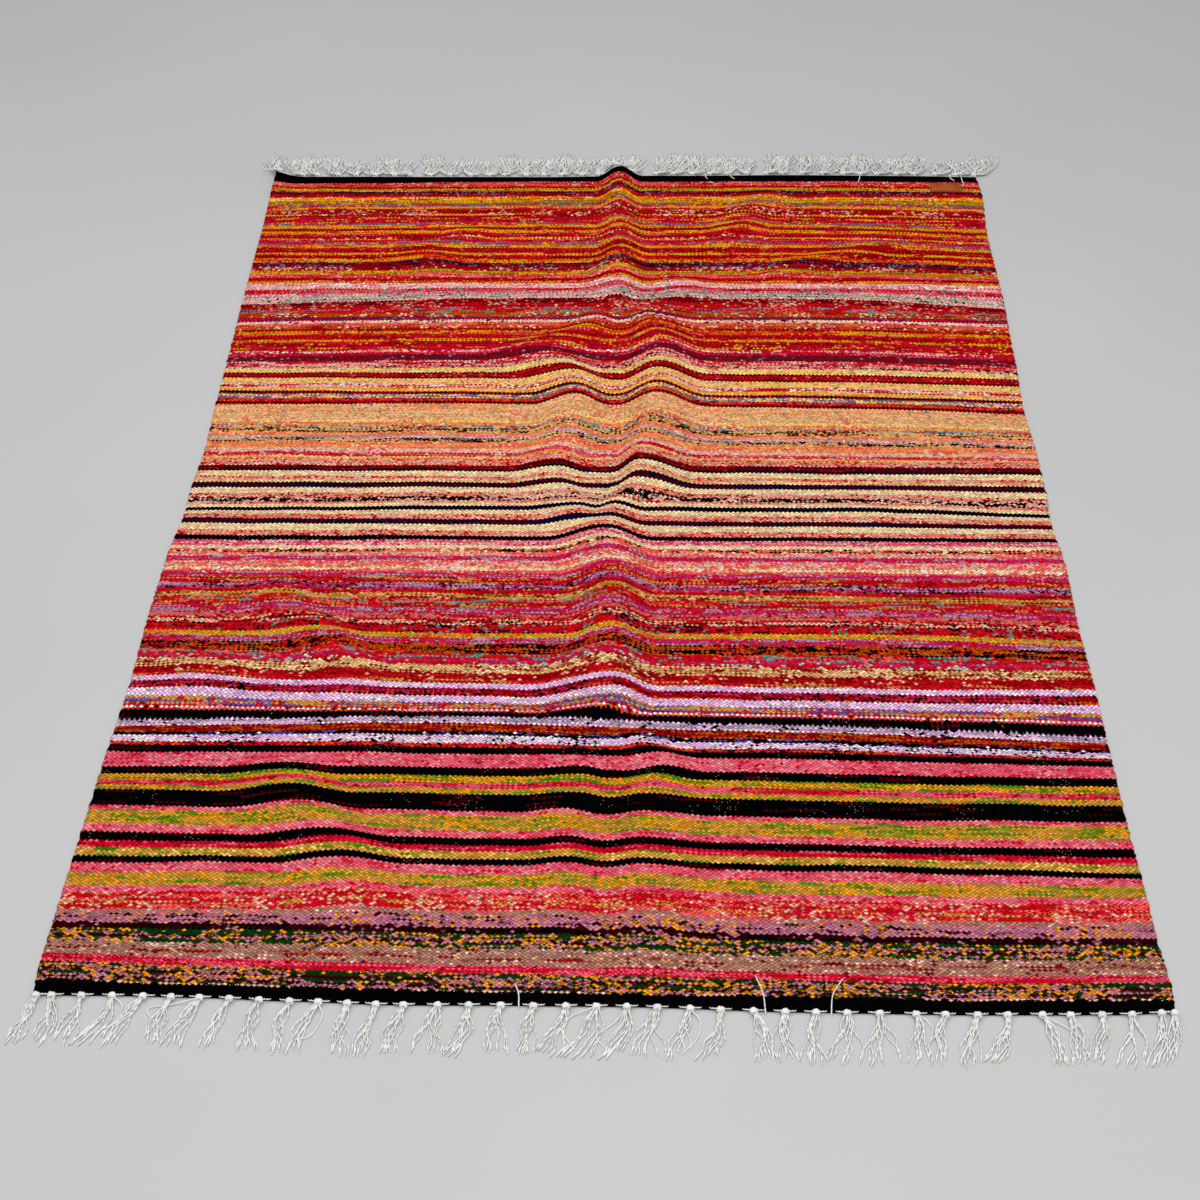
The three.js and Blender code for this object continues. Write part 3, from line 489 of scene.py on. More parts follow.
# A fixed scatter for each numbered yarn or knot, and which number each kind of scatter takes
SCATTER_STEP = 12.9898
SCATTER_KIND_STEP = 78.233
SCATTER_SIZE = 43758.5453
SCATTER_KINDS = {
    "knot": 0, "left fan": 1, "right fan": 2, "bow": 3, "left lock": 5, "middle lock": 6, "right lock": 7,
    "tip": 11, "length": 12, "height": 13, "layer": 14, "phase": 15, "bends": 16, "lift": 17, "lean": 18,
    "tuft": 19, "wrap": 21,
}
FAR_LEAN = rows(
    Lean,
    (-700, -24), (-480, -11), (-200, 7), (60, 14), (300, 15), (560, 8), (700, 29),
)
NEAR_TASSELS = rows(
    Tassel,
    (-694, -717, -711, -700, 0), (-675, -686, -676, -664, 3), (-638, -657, -649, -641, 0),
    (-600, -634, -628, -621, 6), (-562, -600, -594, -587, -4), (-527, -547, -541, -534, -4),
    (-492, -524, -513, -506, -5), (-455, -477, -470, -462, -4), (-418, -431, -425, -408, -5),
    (-380, -395, -387, -377, -6), (-345, -371, -365, -358, -7), (-309, -318, -312, -305, -3),
    (-274, -295, -288, -276, -3), (-240, -261, -253, -245, -4), (-198, -222, -202, -192, -3),
    (-160, -181, -174, -166, 5), (-121, -136, -128, -113, -5), (-81, -92, -85, -78, -3),
    (-41, -71, -63, -51, 4), (-4, -43, -28, -13, 5), (33, 3, 17, 25, 5), (70, 41, 52, 76, -4),
    (110, 87, 97, 106, -3), (147, 120, 131, 141, 4), (187, 194, 202, 209, 4), (225, 217, 227, 238, -3),
    (262, 247, 258, 268, -3), (300, 276, 293, 309, 3), (339, 318, 338, 361, 0), (383, 376, 386, 394, 4),
    (418, 402, 409, 416, -5), (457, 432, 441, 451, -4), (493, 463, 472, 479, 5), (535, 547, 554, 561, 5),
    (569, 568, 575, 582, 3), (607, 589, 595, 602, 3), (643, 623, 634, 647, 4), (679, 655, 662, 669, 4),
    (695, 677, 684, 691, 2),
)
# Single warp ends that came back over the edge
NEAR_FLOPPED = rows(Flopped, (-99, -105, 30), (201, 190, 50), (281, 297, 48))
FAR_FLOPPED = rows(Flopped, (158, 162, 14), (208, 216, 16), (466, 461, 26), (644, 651, 18), (667, 668, 33))
FLOPPED_STEPS = 12
FLOPPED_OUT = 4
FLOPPED_LOW = 2
FLOPPED_TURN_OUT = 1.5
FLOPPED_TURN_RISE = 0.6
FLOPPED_MIDDLE = 0.2
# Single yarns that loop away from their tassel before they come back to the floor
NEAR_LOOPS = rows(
    Loop,
    (-600, 14, 12, 10, 36, -20, 56), (-492, -34, 8, -62, 16, -40, 44), (-345, 7, 20, -4, 46, -22, 52),
    (-4, -30, 12, -40, 34, -24, 60), (33, -16, 22, -36, 40, -24, 58), (110, 12, 16, 8, 40, -10, 62),
    (383, 12, 6, 18, 22, 8, 48), (535, 26, 14, 42, 30, 46, 48),
)
LOOP_SIDE_LAYER = 2.4
LOOP_TURN_LAYER = 1.6

# Leather patch
PATCH_WIDTH = 60
PATCH_HEIGHT = 31
PATCH_THICKNESS = 1.6
PATCH_CORNER = 1.2
PATCH_CORNER_STEPS = 3
PATCH_ACROSS = 633
PATCH_ALONG = 31
PATCH_TURN = math.radians(-1.2)
PATCH_LIFT = 4.3
PATCH_EDGE = 0.5
LEVEL = 1e-6
PATCH_STITCHES = 6
STITCH_INSET = 3.4
STITCH_LENGTH = 3.2
STITCH_SUNK = 0.6
STITCH_PROUD = 0.15
STITCH_YARN = 0.45
STITCH_STEPS = 8

# Floor, light and camera, in metres
FLOOR_HALF = 9
ROOM_LIGHT = 0.48
LIGHTS = rows(
    Light,
    ("overhead light", (-0.5, 0.4, 3.6), (0, -0.3, 0), 3.0, 63),
    ("front fill", (0.6, -3.0, 3.2), (0, -0.6, 0), 2.5, 66),
)
CAMERA_PLACE = (0.0533, -2.4183, 1.9497)
CAMERA_TURN = (48.0, 0.473, 1.4914)
CAMERA_LENS = 57.755
CAMERA_SENSOR = 36


def linear(colour):
    """A colour out of 255 as Blender's linear one, by the usual screen curve."""
    shares = [part / 255 for part in colour]
    return tuple(s / 12.92 if s <= 0.04045 else ((s + 0.055) / 1.055) ** 2.4 for s in shares) + (1,)


def scatter(index, kind):
    """A fixed small scatter from -1 to 1 for one numbered thing."""
    wave = math.sin(index * SCATTER_STEP + SCATTER_KINDS[kind] * SCATTER_KIND_STEP) * SCATTER_SIZE
    return (wave - math.floor(wave)) * 2 - 1


def scatter_share(index, kind):
    """The same scatter as a share from 0 to 1."""
    return 0.5 * (1 + scatter(index, kind))


def column(table, name):
    return np.array([getattr(row, name) for row in table], float)


def eased(place, keys, values):
    """A table's values at any places, eased between neighbouring rows."""
    after = np.clip(np.searchsorted(keys, place), 1, len(keys) - 1)
    share = np.clip((place - keys[after - 1]) / (keys[after] - keys[after - 1]), 0, 1)
    share = share * share * (3 - 2 * share)
    return values[after - 1] + (values[after] - values[after - 1]) * share


def eased_column(place, table, name):
    return eased(place, column(table, table[0]._fields[0]), column(table, name))


# The cloth's shape


def fold_height(fold, across, along):
    crest, rise, left, right = (eased_column(along, fold, name) for name in Fold._fields[1:])
    off = across - crest
    reach = np.where(off < 0, left, right)
    inside = (np.abs(off) < reach) & (along >= fold[0].along) & (along <= fold[-1].along)
    return np.where(inside, rise * 0.5 * (1 + np.cos(np.pi * off / reach)), 0)


def corner_height(across, along):
    side = np.clip(1 - (across + OUTLINE[0].left) / CORNER_ACROSS, 0, 1)
    end = np.clip(1 - along / CORNER_ALONG, 0, 1)
    return CORNER_RISE * side ** CORNER_POWER * end ** CORNER_POWER


def crease_height(crease, across, along):
    turn = math.radians(crease.turn)
    off_across = across - crease.across
    off_along = along - crease.along
    down = (off_across * math.cos(turn) + off_along * math.sin(turn)) / crease.length
    over = (off_along * math.cos(turn) - off_across * math.sin(turn)) / crease.width
    return crease.rise * np.exp(-(down * down + over * over) * CREASE_FALL)


def cloth_point(flat_across, along):
    """Where points of the flat cloth lie: across, y and the height of its underside."""
    left = eased_column(along, OUTLINE, "left") / OUTLINE[0].left
    right = eased_column(along, OUTLINE, "right") / OUTLINE[0].right
    across = np.where(flat_across < 0, flat_across * left, flat_across * right)
    far_share = np.clip(1 - along / EDGE_FADE, 0, 1)
    near_share = np.clip(1 - (CLOTH_LENGTH - along) / EDGE_FADE, 0, 1)
    far_past = eased_column(across, FAR_EDGE, "past") * far_share
    near_past = eased_column(across, NEAR_EDGE, "past") * near_share
    y = CLOTH_LENGTH / 2 - along + far_past - near_past
    height = corner_height(across, along) + sum(fold_height(fold, across, along) for fold in FOLDS)
    return across, y, height


def place_on_cloth(flat_across, along):
    across, y, height = cloth_point(np.array([float(flat_across)]), np.array([float(along)]))
    return float(across[0]), float(y[0]), float(height[0])


def cloth_columns():
    """Where the cloth's columns of points lie across: close together in the folds and at the selvedges."""
    middle = np.linspace(-FOLDED_HALF, FOLDED_HALF, 2 * FOLDED_HALF // FOLDED_STEP + 1)
    sides = math.ceil((OUTLINE[0].left - FOLDED_HALF) / FLAT_STEP)
    left = np.linspace(-OUTLINE[0].left, -FOLDED_HALF, sides, endpoint=False)
    right = np.linspace(OUTLINE[0].right, FOLDED_HALF, sides, endpoint=False)
    left_hems = [inset - OUTLINE[0].left for inset in SELVEDGE_COLUMNS]
    right_hems = [OUTLINE[0].right - inset for inset in SELVEDGE_COLUMNS]
    return np.sort(np.concatenate([left, middle, right, left_hems, right_hems]))


def selvedge_wave(along, phase):
    """The uneven loops of weft along a selvedge."""
    slow = np.sin(2 * np.pi * along / SLOW_WAVE + phase)
    loops = np.sin(2 * np.pi * along / LOOP_WAVE + LOOP_SHIFT * slow + phase)
    ripples = np.sin(2 * np.pi * along / RIPPLE_WAVE + RIPPLE_SHIFT * slow)
    return LOOP_SHARE * loops + RIPPLE_SHARE * ripples


def bow_at(u, stray):
    """How far each tabled stripe strays at one place across, straight on past the outer places."""
    place = int(np.clip(np.searchsorted(BOW_ACROSS, u), 1, len(BOW_ACROSS) - 1))
    share = (u - BOW_ACROSS[place - 1]) / (BOW_ACROSS[place] - BOW_ACROSS[place - 1])
    return stray[place - 1] * (1 - share) + stray[place] * share


def stripe_place(across, y):
    """Where each point lies in the stripes, with their bow undone."""
    floor_along = CLOTH_LENGTH / 2 - y
    stripes = column(BOWS, "stripe")
    stray = [column(BOWS, "left"), np.zeros(len(BOWS)), column(BOWS, "right"), column(BOWS, "far_right")]
    shifts = (-BOW_SOFTENING, 0, BOW_SOFTENING)
    places = np.zeros_like(across)
    for row in range(across.shape[0]):
        for col in range(across.shape[1]):
            offsets = sum(bow_at(across[row, col] + shift, stray) for shift in shifts) / len(shifts)
            places[row, col] = np.interp(floor_along[row, col], stripes + offsets, stripes)
    return places


def cloth_mesh():
    flat = cloth_columns()
    along = np.arange(0, CLOTH_LENGTH + ROW_STEP, ROW_STEP, dtype=float)[:, None]
    across, y, under = cloth_point(flat[None, :] + 0 * along, along + 0 * flat[None, :])
    top = under + CLOTH_THICKNESS + sum(crease_height(crease, across, along) for crease in CREASES)
    weave_down = stripe_place(across, y)
    for side, edge, phase in ((-1, -OUTLINE[0].left, LEFT_PHASE), (1, OUTLINE[0].right, RIGHT_PHASE)):
        share = np.clip(1 - np.abs(flat - edge) / SELVEDGE_FADE, 0, 1)[None, :]
        across = across + side * SELVEDGE_WAVE * share * selvedge_wave(along, phase)
    return sheet_mesh(across, y, under, top, flat, weave_down)


def sheet_mesh(across, y, under, top, flat, weave_down):
    """The closed mesh: a fine face, a rounded rim and a coarser underside, with the weave as its UV map."""
    last_row, last_col = across.shape[0] - 1, across.shape[1] - 1
    heights = {"top": top, "under": under, "rim": (top + under) / 2}
    points, weave, index = [], [], {}

    def point(layer, row, col):
        key = (layer, row, col)
        if key not in index:
            out_x, out_y = 0.0, 0.0
            if layer == "rim":
                out_x = RIM_ROUND * ((col == last_col) - (col == 0))
                out_y = RIM_ROUND * ((row == 0) - (row == last_row))
            at_edge = row in (0, last_row) or col in (0, last_col)
            height = heights[layer][row, col] - RIM_ROUND * (layer == "top" and at_edge)
            points.append((across[row, col] + out_x, y[row, col] + out_y, height))
            weave.append((flat[col], weave_down[row, col]))
            index[key] = len(points) - 1
        return index[key]

    faces = []
    for row in range(last_row):
        for col in range(last_col):
            corners = ((row, col), (row + 1, col), (row + 1, col + 1), (row, col + 1))
            faces.append([point("top", *corner) for corner in corners])
    faces += [[point("under", *corner) for corner in ring] for ring in under_rings(last_row, last_col)]
    rim = [(row, 0) for row in range(last_row)] + [(last_row, col) for col in range(last_col)]
    rim += [(row, last_col) for row in range(last_row, 0, -1)] + [(0, col) for col in range(last_col, 0, -1)]
    for here, after in zip(rim, rim[1:] + rim[:1]):
        for upper, lower in (("top", "rim"), ("rim", "under")):
            ring = ((upper, here), (lower, here), (lower, after), (upper, after))
            faces.append([point(layer, *place) for layer, place in ring])
    mesh = bpy.data.meshes.new("woven_cloth")
    mesh.from_pydata(np.array(points) * MM, [], faces)
    mesh.shade_smooth()
    corner_points = np.zeros(len(mesh.loops), np.int32)
    mesh.loops.foreach_get("vertex_index", corner_points)
    weave_places = (np.array(weave) * MM)[corner_points].astype(np.float32)
    mesh.uv_layers.new(name="weave")
    mesh.uv_layers["weave"].uv.foreach_set("vector", weave_places.ravel())
    return mesh


def rim_step(edge, last, whole):
    """From point to point along the rim, and in one step elsewhere."""
    return 1 if edge in (0, last) else whole


def under_rings(last_row, last_col):
    """The underside's coarse faces. Those at the rim take in all of the rim's points."""
    rings = []
    for row in range(0, last_row, UNDER_ROWS):
        for col in range(0, last_col, UNDER_COLUMNS):
            row_end = min(row + UNDER_ROWS, last_row)
            col_end = min(col + UNDER_COLUMNS, last_col)
            wide, deep = col_end - col, row_end - row
            ring = [(row, c) for c in range(col, col_end, rim_step(row, last_row, wide))]
            ring += [(r, col_end) for r in range(row, row_end, rim_step(col_end, last_col, deep))]
            ring += [(row_end, c) for c in range(col_end, col, -rim_step(row_end, last_row, wide))]
            ring += [(r, col) for r in range(row_end, row, -rim_step(col, last_col, deep))]
            rings.append(ring)
    return rings


def new_object(name, mesh, material):
    mesh.materials.append(material)
    piece = bpy.data.objects.new(name, mesh)
    bpy.context.scene.collection.objects.link(piece)
    return piece


# Materials


class Wiring:
    """One material's nodes, added and linked by short calls."""

    def __init__(self, name):
        self.material = bpy.data.materials.new(name)
        self.material.use_nodes = True
        self.tree = self.material.node_tree
        self.shader = self.tree.nodes["Principled BSDF"]

    def add(self, kind, **settings):
        node = self.tree.nodes.new(kind)
        for name, value in settings.items():
            setattr(node, name, value)
        return node

    def feed(self, socket, value):
        if isinstance(value, bpy.types.NodeSocket):
            self.tree.links.new(value, socket)
        else:
            socket.default_value = value

    def math(self, operation, *values):
        node = self.add("ShaderNodeMath", operation=operation)
        for socket, value in zip(node.inputs, values):
            self.feed(socket, value)
        return node.outputs[0]

    def plus(self, first, second):
        return self.math("ADD", first, second)

    def minus(self, first, second):
        return self.math("SUBTRACT", first, second)

    def times(self, first, second):
        return self.math("MULTIPLY", first, second)

    def spread(self, value, spread):
        """A value's range turned into another one, held at its ends."""
        node = self.add("ShaderNodeMapRange")
        for socket, number in zip(node.inputs, (value, *spread)):
            self.feed(socket, number)
        return node.outputs[0]

    def mix(self, share, first, second):
        node = self.add("ShaderNodeMix", data_type="RGBA")
        for socket, value in zip(COLOUR_MIX_INPUTS, (share, first, second)):
            self.feed(node.inputs[socket], value)
        return node.outputs[COLOUR_MIX_OUTPUT]

    def scaled(self, colour, amount):
        node = self.add("ShaderNodeVectorMath", operation="SCALE")
        self.feed(node.inputs[0], colour)
        self.feed(node.inputs["Scale"], amount)
        return node.outputs[0]

    def pair(self, first, second):
        node = self.add("ShaderNodeCombineXYZ")
        self.feed(node.inputs[0], first)
        self.feed(node.inputs[1], second)
        return node.outputs[0]

    def parts(self, triple):
        node = self.add("ShaderNodeSeparateXYZ")
        self.feed(node.inputs[0], triple)
        return node.outputs

    def dice(self, first, second):
        """A fixed random share for each pair of numbers."""
        node = self.add("ShaderNodeTexWhiteNoise", noise_dimensions="2D")
        self.feed(node.inputs["Vector"], self.pair(first, second))
        return node.outputs["Value"]

    def cloud(self, place, scale, detail=2.0, dimensions="3D"):
        node = self.add("ShaderNodeTexNoise", noise_dimensions=dimensions)
        self.feed(node.inputs["Vector"], place)
        self.feed(node.inputs["Scale"], scale)
        self.feed(node.inputs["Detail"], detail)
        return node.outputs[0]

    def clouded(self, place, scale, detail, shades):
        """A colour that wanders between two shades, and how far it has wandered."""
        tone = self.spread(self.cloud(place, scale, detail), CLOUD_TONE)
        return self.mix(tone, *[linear(shade) for shade in shades]), tone

    def ramp(self, place, stops):
        """Colours that change sharply at each stop."""
        node = self.add("ShaderNodeValToRGB")
        node.color_ramp.interpolation = "CONSTANT"
        elements = node.color_ramp.elements
        elements.remove(elements[1])
        for number, (stop, colour) in enumerate(stops):
            element = elements[0] if number == 0 else elements.new(stop)
            element.position = stop
            element.color = colour
        self.feed(node.inputs[0], place)
        return node.outputs["Color"], node.outputs["Alpha"]

    def object_place(self):
        return self.add("ShaderNodeTexCoord").outputs["Object"]

    def bump(self, height, distance, strength=1.0):
        node = self.add("ShaderNodeBump")
        self.feed(node.inputs["Height"], height)
        node.inputs["Distance"].default_value = distance * MM
        node.inputs["Strength"].default_value = strength
        self.feed(self.shader.inputs["Normal"], node.outputs[0])

    def finish(self, colour, roughness, specular, sheen=0.0):
        self.feed(self.shader.inputs["Base Color"], colour)
        self.feed(self.shader.inputs["Roughness"], roughness)
        self.shader.inputs["Specular IOR Level"].default_value = specular
        self.shader.inputs["Sheen Weight"].default_value = sheen
        return self.material


def striped_lookup(wiring, place, read):
    """What a stripe's blend says at a place along the cloth, from as many ramps as the stripes need."""
    colour, alpha = None, None
    for first in range(0, len(STRIPES), STRIPES_PER_RAMP):
        part = STRIPES[first:first + STRIPES_PER_RAMP]
        after = STRIPES[first + STRIPES_PER_RAMP:]
        start = part[0][0]
        end = after[0][0] if after else CLOTH_LENGTH
        share = wiring.spread(place, (start * MM, end * MM, 0, 1))
        stops = [((top - start) / (end - start), read(BLENDS[name])) for top, name in part]
        here, here_alpha = wiring.ramp(share, stops)
        if colour is None:
            colour, alpha = here, here_alpha
        else:
            reached = wiring.math("GREATER_THAN", place, start * MM)
            colour = wiring.mix(reached, colour, here)
            alpha = wiring.plus(alpha, wiring.times(wiring.minus(here_alpha, alpha), reached))
    return colour, alpha


def weave_lattice(wiring):
    """Weft-faced plain weave: the weft shows as beads over every other warp, staggered like bricks."""
    place = wiring.add("ShaderNodeUVMap", uv_map="weave").outputs[0]
    across, along, _ = wiring.parts(place)
    waver = wiring.spread(wiring.cloud(place, WAVERS_PER_METRE, dimensions="2D"), WAVER)
    warps = wiring.math("DIVIDE", across, WARP_PITCH * MM)
    picks = wiring.math("DIVIDE", wiring.plus(along, waver), PICK_PITCH * MM)
    rising = wiring.times(wiring.plus(warps, picks), 0.5)
    falling = wiring.times(wiring.minus(picks, warps), 0.5)
    rising_cell = wiring.math("FLOOR", rising)
    falling_cell = wiring.math("FLOOR", falling)
    grain_place = wiring.pair(warps, wiring.times(picks, GRAIN_STRETCH))
    lattice = {
        "across": across,
        "pick": wiring.plus(wiring.plus(rising_cell, falling_cell), 1.0),
        "warp": wiring.minus(rising_cell, falling_cell),
        "rising": wiring.minus(wiring.minus(rising, rising_cell), 0.5),
        "falling": wiring.minus(wiring.minus(falling, falling_cell), 0.5),
        "grain": wiring.cloud(grain_place, GRAINS_PER_WARP, 1.0, "2D"),
        "region": wiring.cloud(place, REGIONS_PER_METRE, 1.0, "2D"),
    }
    crowns = [wiring.math("COSINE", wiring.times(lattice[side], math.pi)) for side in ("rising", "falling")]
    lattice["bead"] = wiring.times(*crowns)
    return lattice


def blended_yarn(wiring, lattice):
    """The colour of each bead of weft, and how often the warps peep through there."""
    pick, warp = lattice["pick"], lattice["warp"]
    place = wiring.times(pick, PICK_PITCH * MM)
    main, _ = striped_lookup(wiring, place, lambda blend: linear(YARNS[blend.main]))
    fleck, _ = striped_lookup(wiring, place, lambda blend: linear(YARNS[blend.fleck]))
    accent, _ = striped_lookup(wiring, place, lambda blend: linear(YARNS[blend.accent]))
    shares, specks = striped_lookup(
        wiring, place, lambda blend: (blend.flecked, blend.run / LONGEST_RUN, blend.accented, blend.specks)
    )
    fleck_share, run_share, accent_share = wiring.parts(shares)
    run = wiring.times(run_share, LONGEST_RUN / WARP_PITCH)
    start = wiring.times(wiring.dice(pick, RUN_DICE), RUN_SHIFT)
    run_number = wiring.math("FLOOR", wiring.plus(wiring.math("DIVIDE", warp, run), start))
    drift_place = wiring.pair(wiring.times(lattice["across"], DRIFTS_PER_METRE), pick)
    drift = wiring.spread(wiring.cloud(drift_place, 1.0, 0.0, "2D"), DRIFT)
    ragged = wiring.spread(lattice["grain"], RAGGED)
    flecked = wiring.times(wiring.times(fleck_share, drift), ragged)
    is_fleck = wiring.math("LESS_THAN", wiring.dice(run_number, pick), flecked)
    smooth = wiring.minus(2.0, ragged)
    clustered = wiring.times(smooth, wiring.spread(lattice["region"], CLUSTERED))
    accented = wiring.times(accent_share, clustered)
    is_accent = wiring.math("LESS_THAN", wiring.dice(warp, pick), accented)
    return wiring.mix(is_accent, wiring.mix(is_fleck, main, fleck), accent), specks


def striped_cotton():
    wiring = Wiring("striped cotton weft")
    lattice = weave_lattice(wiring)
    pick, warp = lattice["pick"], lattice["warp"]
    yarn, specks = blended_yarn(wiring, lattice)
    uneven = wiring.spread(wiring.dice(wiring.plus(warp, SHADE_DICE), pick), UNEVEN)
    twist = wiring.spread(lattice["grain"], TWIST)
    # Painted shade: the yarn is darkened in the gaps between beads by the bead's height and lifted a little
    # on the crowns, on top of its random tone
    painted_gap_shade = wiring.spread(lattice["bead"], GAP_PAINTED_SHADE)
    shaded = wiring.scaled(yarn, wiring.times(wiring.times(uneven, twist), painted_gap_shade))
    rise = wiring.plus(lattice["rising"], lattice["falling"])
    at_tip = wiring.math("GREATER_THAN", wiring.math("ABSOLUTE", rise), BEAD_TIP)
    crossing = wiring.plus(pick, wiring.math("SIGN", rise))
    shown = wiring.times(specks, wiring.spread(lattice["region"], PEEPING))
    peeps = wiring.math("LESS_THAN", wiring.dice(warp, wiring.plus(crossing, PEEP_DICE)), shown)
    colour = wiring.mix(wiring.times(at_tip, peeps), shaded, linear(WARP_WHITE))
    fibres = wiring.cloud(wiring.object_place(), FIBRES_PER_METRE)
    wiring.bump(wiring.plus(lattice["bead"], wiring.times(fibres, FIBRE_SHARE)), BEAD_HEIGHT)
    return wiring.finish(colour, roughness=0.95, specular=0.0)


def fringe_cotton():
    wiring = Wiring("white fringe cotton")
    place = wiring.object_place()
    colour, _ = wiring.clouded(place, scale=60.0, detail=3.0, shades=FRINGE_SHADES)
    wiring.bump(wiring.cloud(place, scale=1600.0), distance=0.25, strength=0.4)
    return wiring.finish(colour, roughness=0.9, specular=0.2, sheen=0.1)


def tan_leather():
    wiring = Wiring("tan leather")
    place = wiring.object_place()
    colour, tone = wiring.clouded(place, scale=90.0, detail=4.0, shades=LEATHER_SHADES)
    grain = wiring.add("ShaderNodeTexVoronoi", feature="DISTANCE_TO_EDGE")
    wiring.feed(grain.inputs["Vector"], place)
    grain.inputs["Scale"].default_value = LEATHER_GRAINS_PER_METRE
    pores = wiring.cloud(place, scale=500.0, detail=3.0)
    wiring.bump(wiring.plus(grain.outputs[0], pores), distance=0.25, strength=0.5)
    return wiring.finish(colour, wiring.spread(tone, LEATHER_ROUGHNESS), specular=0.15)


def stitch_thread():
    wiring = Wiring("tan stitching thread")
    tone = wiring.cloud(wiring.object_place(), scale=800.0)
    colour = wiring.mix(tone, *[linear(shade) for shade in THREAD_SHADES])
    return wiring.finish(colour, roughness=0.8, specular=0.2, sheen=0.1)


def pale_floor():
    wiring = Wiring("pale floor")
    place = wiring.object_place()
    colour, _ = wiring.clouded(place, scale=1.4, detail=5.0, shades=FLOOR_SHADES)
    wiring.bump(wiring.cloud(place, scale=140.0, detail=3.0), distance=0.3, strength=0.08)
    return wiring.finish(colour, roughness=0.7, specular=0.2)


# Fringe


def far_tassels():
    """The far knots in an even row, each a little off its place."""
    spread = OUTLINE[0].left - FAR_KNOT_MARGIN
    tassels = []
    for index in range(FAR_KNOTS):
        knot = -spread + 2 * spread * index / (FAR_KNOTS - 1) + scatter(index, "knot") * FAR_KNOT_DRIFT
        middle = knot + float(eased_column(knot, FAR_LEAN, "lean"))
        left = middle - FAR_FAN * (1 + scatter(index, "left fan") * FAR_FAN_DRIFT)
        right = middle + FAR_FAN * (1 + scatter(index, "right fan") * FAR_FAN_DRIFT)
        tassels.append(Tassel(knot, left, middle, right, scatter(index, "bow") * FAR_BOW))
    return tassels


def smooth_path(corners, steps):
    """Points along a soft curve through a few corners."""
    corners = np.array(corners, float)
    padded = np.vstack([2 * corners[0] - corners[1], corners, 2 * corners[-1] - corners[-2]])
    points = []
    for place in np.linspace(0, len(corners) - 1, steps):
        span = min(int(place), len(corners) - 2)
        t = place - span
        a, b, c, d = padded[span:span + 4]
        bend = 2 * a - 5 * b + 4 * c - d
        points.append(0.5 * (2 * b + (c - a) * t + bend * t * t + (3 * b - a - 3 * c + d) * t ** 3))
    return points


def fall(root_height, out):
    """How a yarn comes down from its knot to the floor."""
    return root_height * max(0, 1 - out / SAG_REACH) ** 2


def gathered_way(tassel, knot_place, gather, along, outward, tumble, knot_height):
    """A warp's way from the cloth's edge to the middle of its knot."""
    knot_x, edge_y, edge_z = knot_place
    leftmost, rightmost = GATHER_MARGIN - OUTLINE[0].left, OUTLINE[0].right - GATHER_MARGIN
    x, y, z = place_on_cloth(np.clip(tassel.knot + gather, leftmost, rightmost), along)
    return [
        (x, y - outward * GATHER_INSIDE, z + tumble.wing * WING_START),
        (x + (knot_x - x) * WING_TURN, y + outward * WING_OUT, z + tumble.wing),
        (knot_x + gather * NECK_GATHER, edge_y + outward * NECK_OUT, edge_z + tumble.wing + NECK_RISE),
        (knot_x + gather * KNOT_GATHER, edge_y + outward * KNOT_OUT, edge_z + knot_height),
    ]


def warp_end(tassel, index, end, along, outward, tumble):
    """One warp from the cloth's edge through its knot to its cut tip."""
    knot_place = place_on_cloth(tassel.knot, along)
    knot_x, edge_y, edge_z = knot_place
    gather = (2 * end / (tumble.ends - 1) - 1) * GATHER_HALF
    number = index * tumble.ends + end + along
    lock = LOCKS[end * len(LOCKS) // tumble.ends]
    tip = getattr(tassel, lock) + scatter(number, "tip") * tumble.tips + scatter(index, "lean") * tumble.lean
    reach = LOCK_REACH + LOCK_REACH_SPREAD * scatter_share(index, lock + " lock")
    reach += scatter(number, "length") * tumble.lengths + scatter(index, "tuft") * tumble.tufts
    knot_height = tumble.knot + scatter(number, "height")
    path = gathered_way(tassel, knot_place, gather, along, outward, tumble, knot_height)
    inner = knot_x + gather * KNOT_GATHER
    layer = tumble.yarn * (LOWEST_LAYER + LAYER_SPREAD * scatter_share(number, "layer"))
    phase = scatter(number, "phase") * math.pi
    bends = 1 + BENDS_SPREAD * scatter(number, "bends")
    lift = tumble.lift * scatter_share(number, "lift")
    for share in np.linspace(FIRST_SHARE, 1, END_STEPS - len(path)):
        sway = math.sin(math.pi * share)
        x = inner + (tip - inner) * share ** tumble.fan + tassel.bow * sway
        x += tumble.bends * math.sin(2 * math.pi * share * bends + phase) * sway
        run = reach * share ** tumble.hug
        floor = layer + (TIP_YARN - layer) * share + lift * sway
        z = floor + fall(edge_z + tumble.knot - KNOT_SAG, run)
        path.append((x, edge_y + outward * (KNOT_OUT + run), z))
    wing = [WING_YARN] * WING_POINTS
    tip_sizes = [TIP_YARN, tumble.yarn]
    lying = [tumble.yarn] * (len(path) - len(wing) - len(tip_sizes))
    return path, wing + lying + tip_sizes


def knot_wrap(tassel, along, outward, height, turned):
    """The yarn that is wound round a tassel's neck."""
    knot_x, edge_y, edge_z = place_on_cloth(tassel.knot, along)
    path = []
    for share in np.linspace(0, 1, KNOT_STEPS):
        angle = turned + share * KNOT_TURNS * 2 * math.pi
        path.append((
            knot_x + KNOT_WRAP_RADIUS * math.cos(angle),
            edge_y + outward * (KNOT_OUT + (share - 0.5) * KNOT_WRAP_LENGTH),
            edge_z + height + KNOT_WRAP_RADIUS * KNOT_FLATNESS * math.sin(angle),
        ))
    return path, [KNOT_YARN] * len(path)


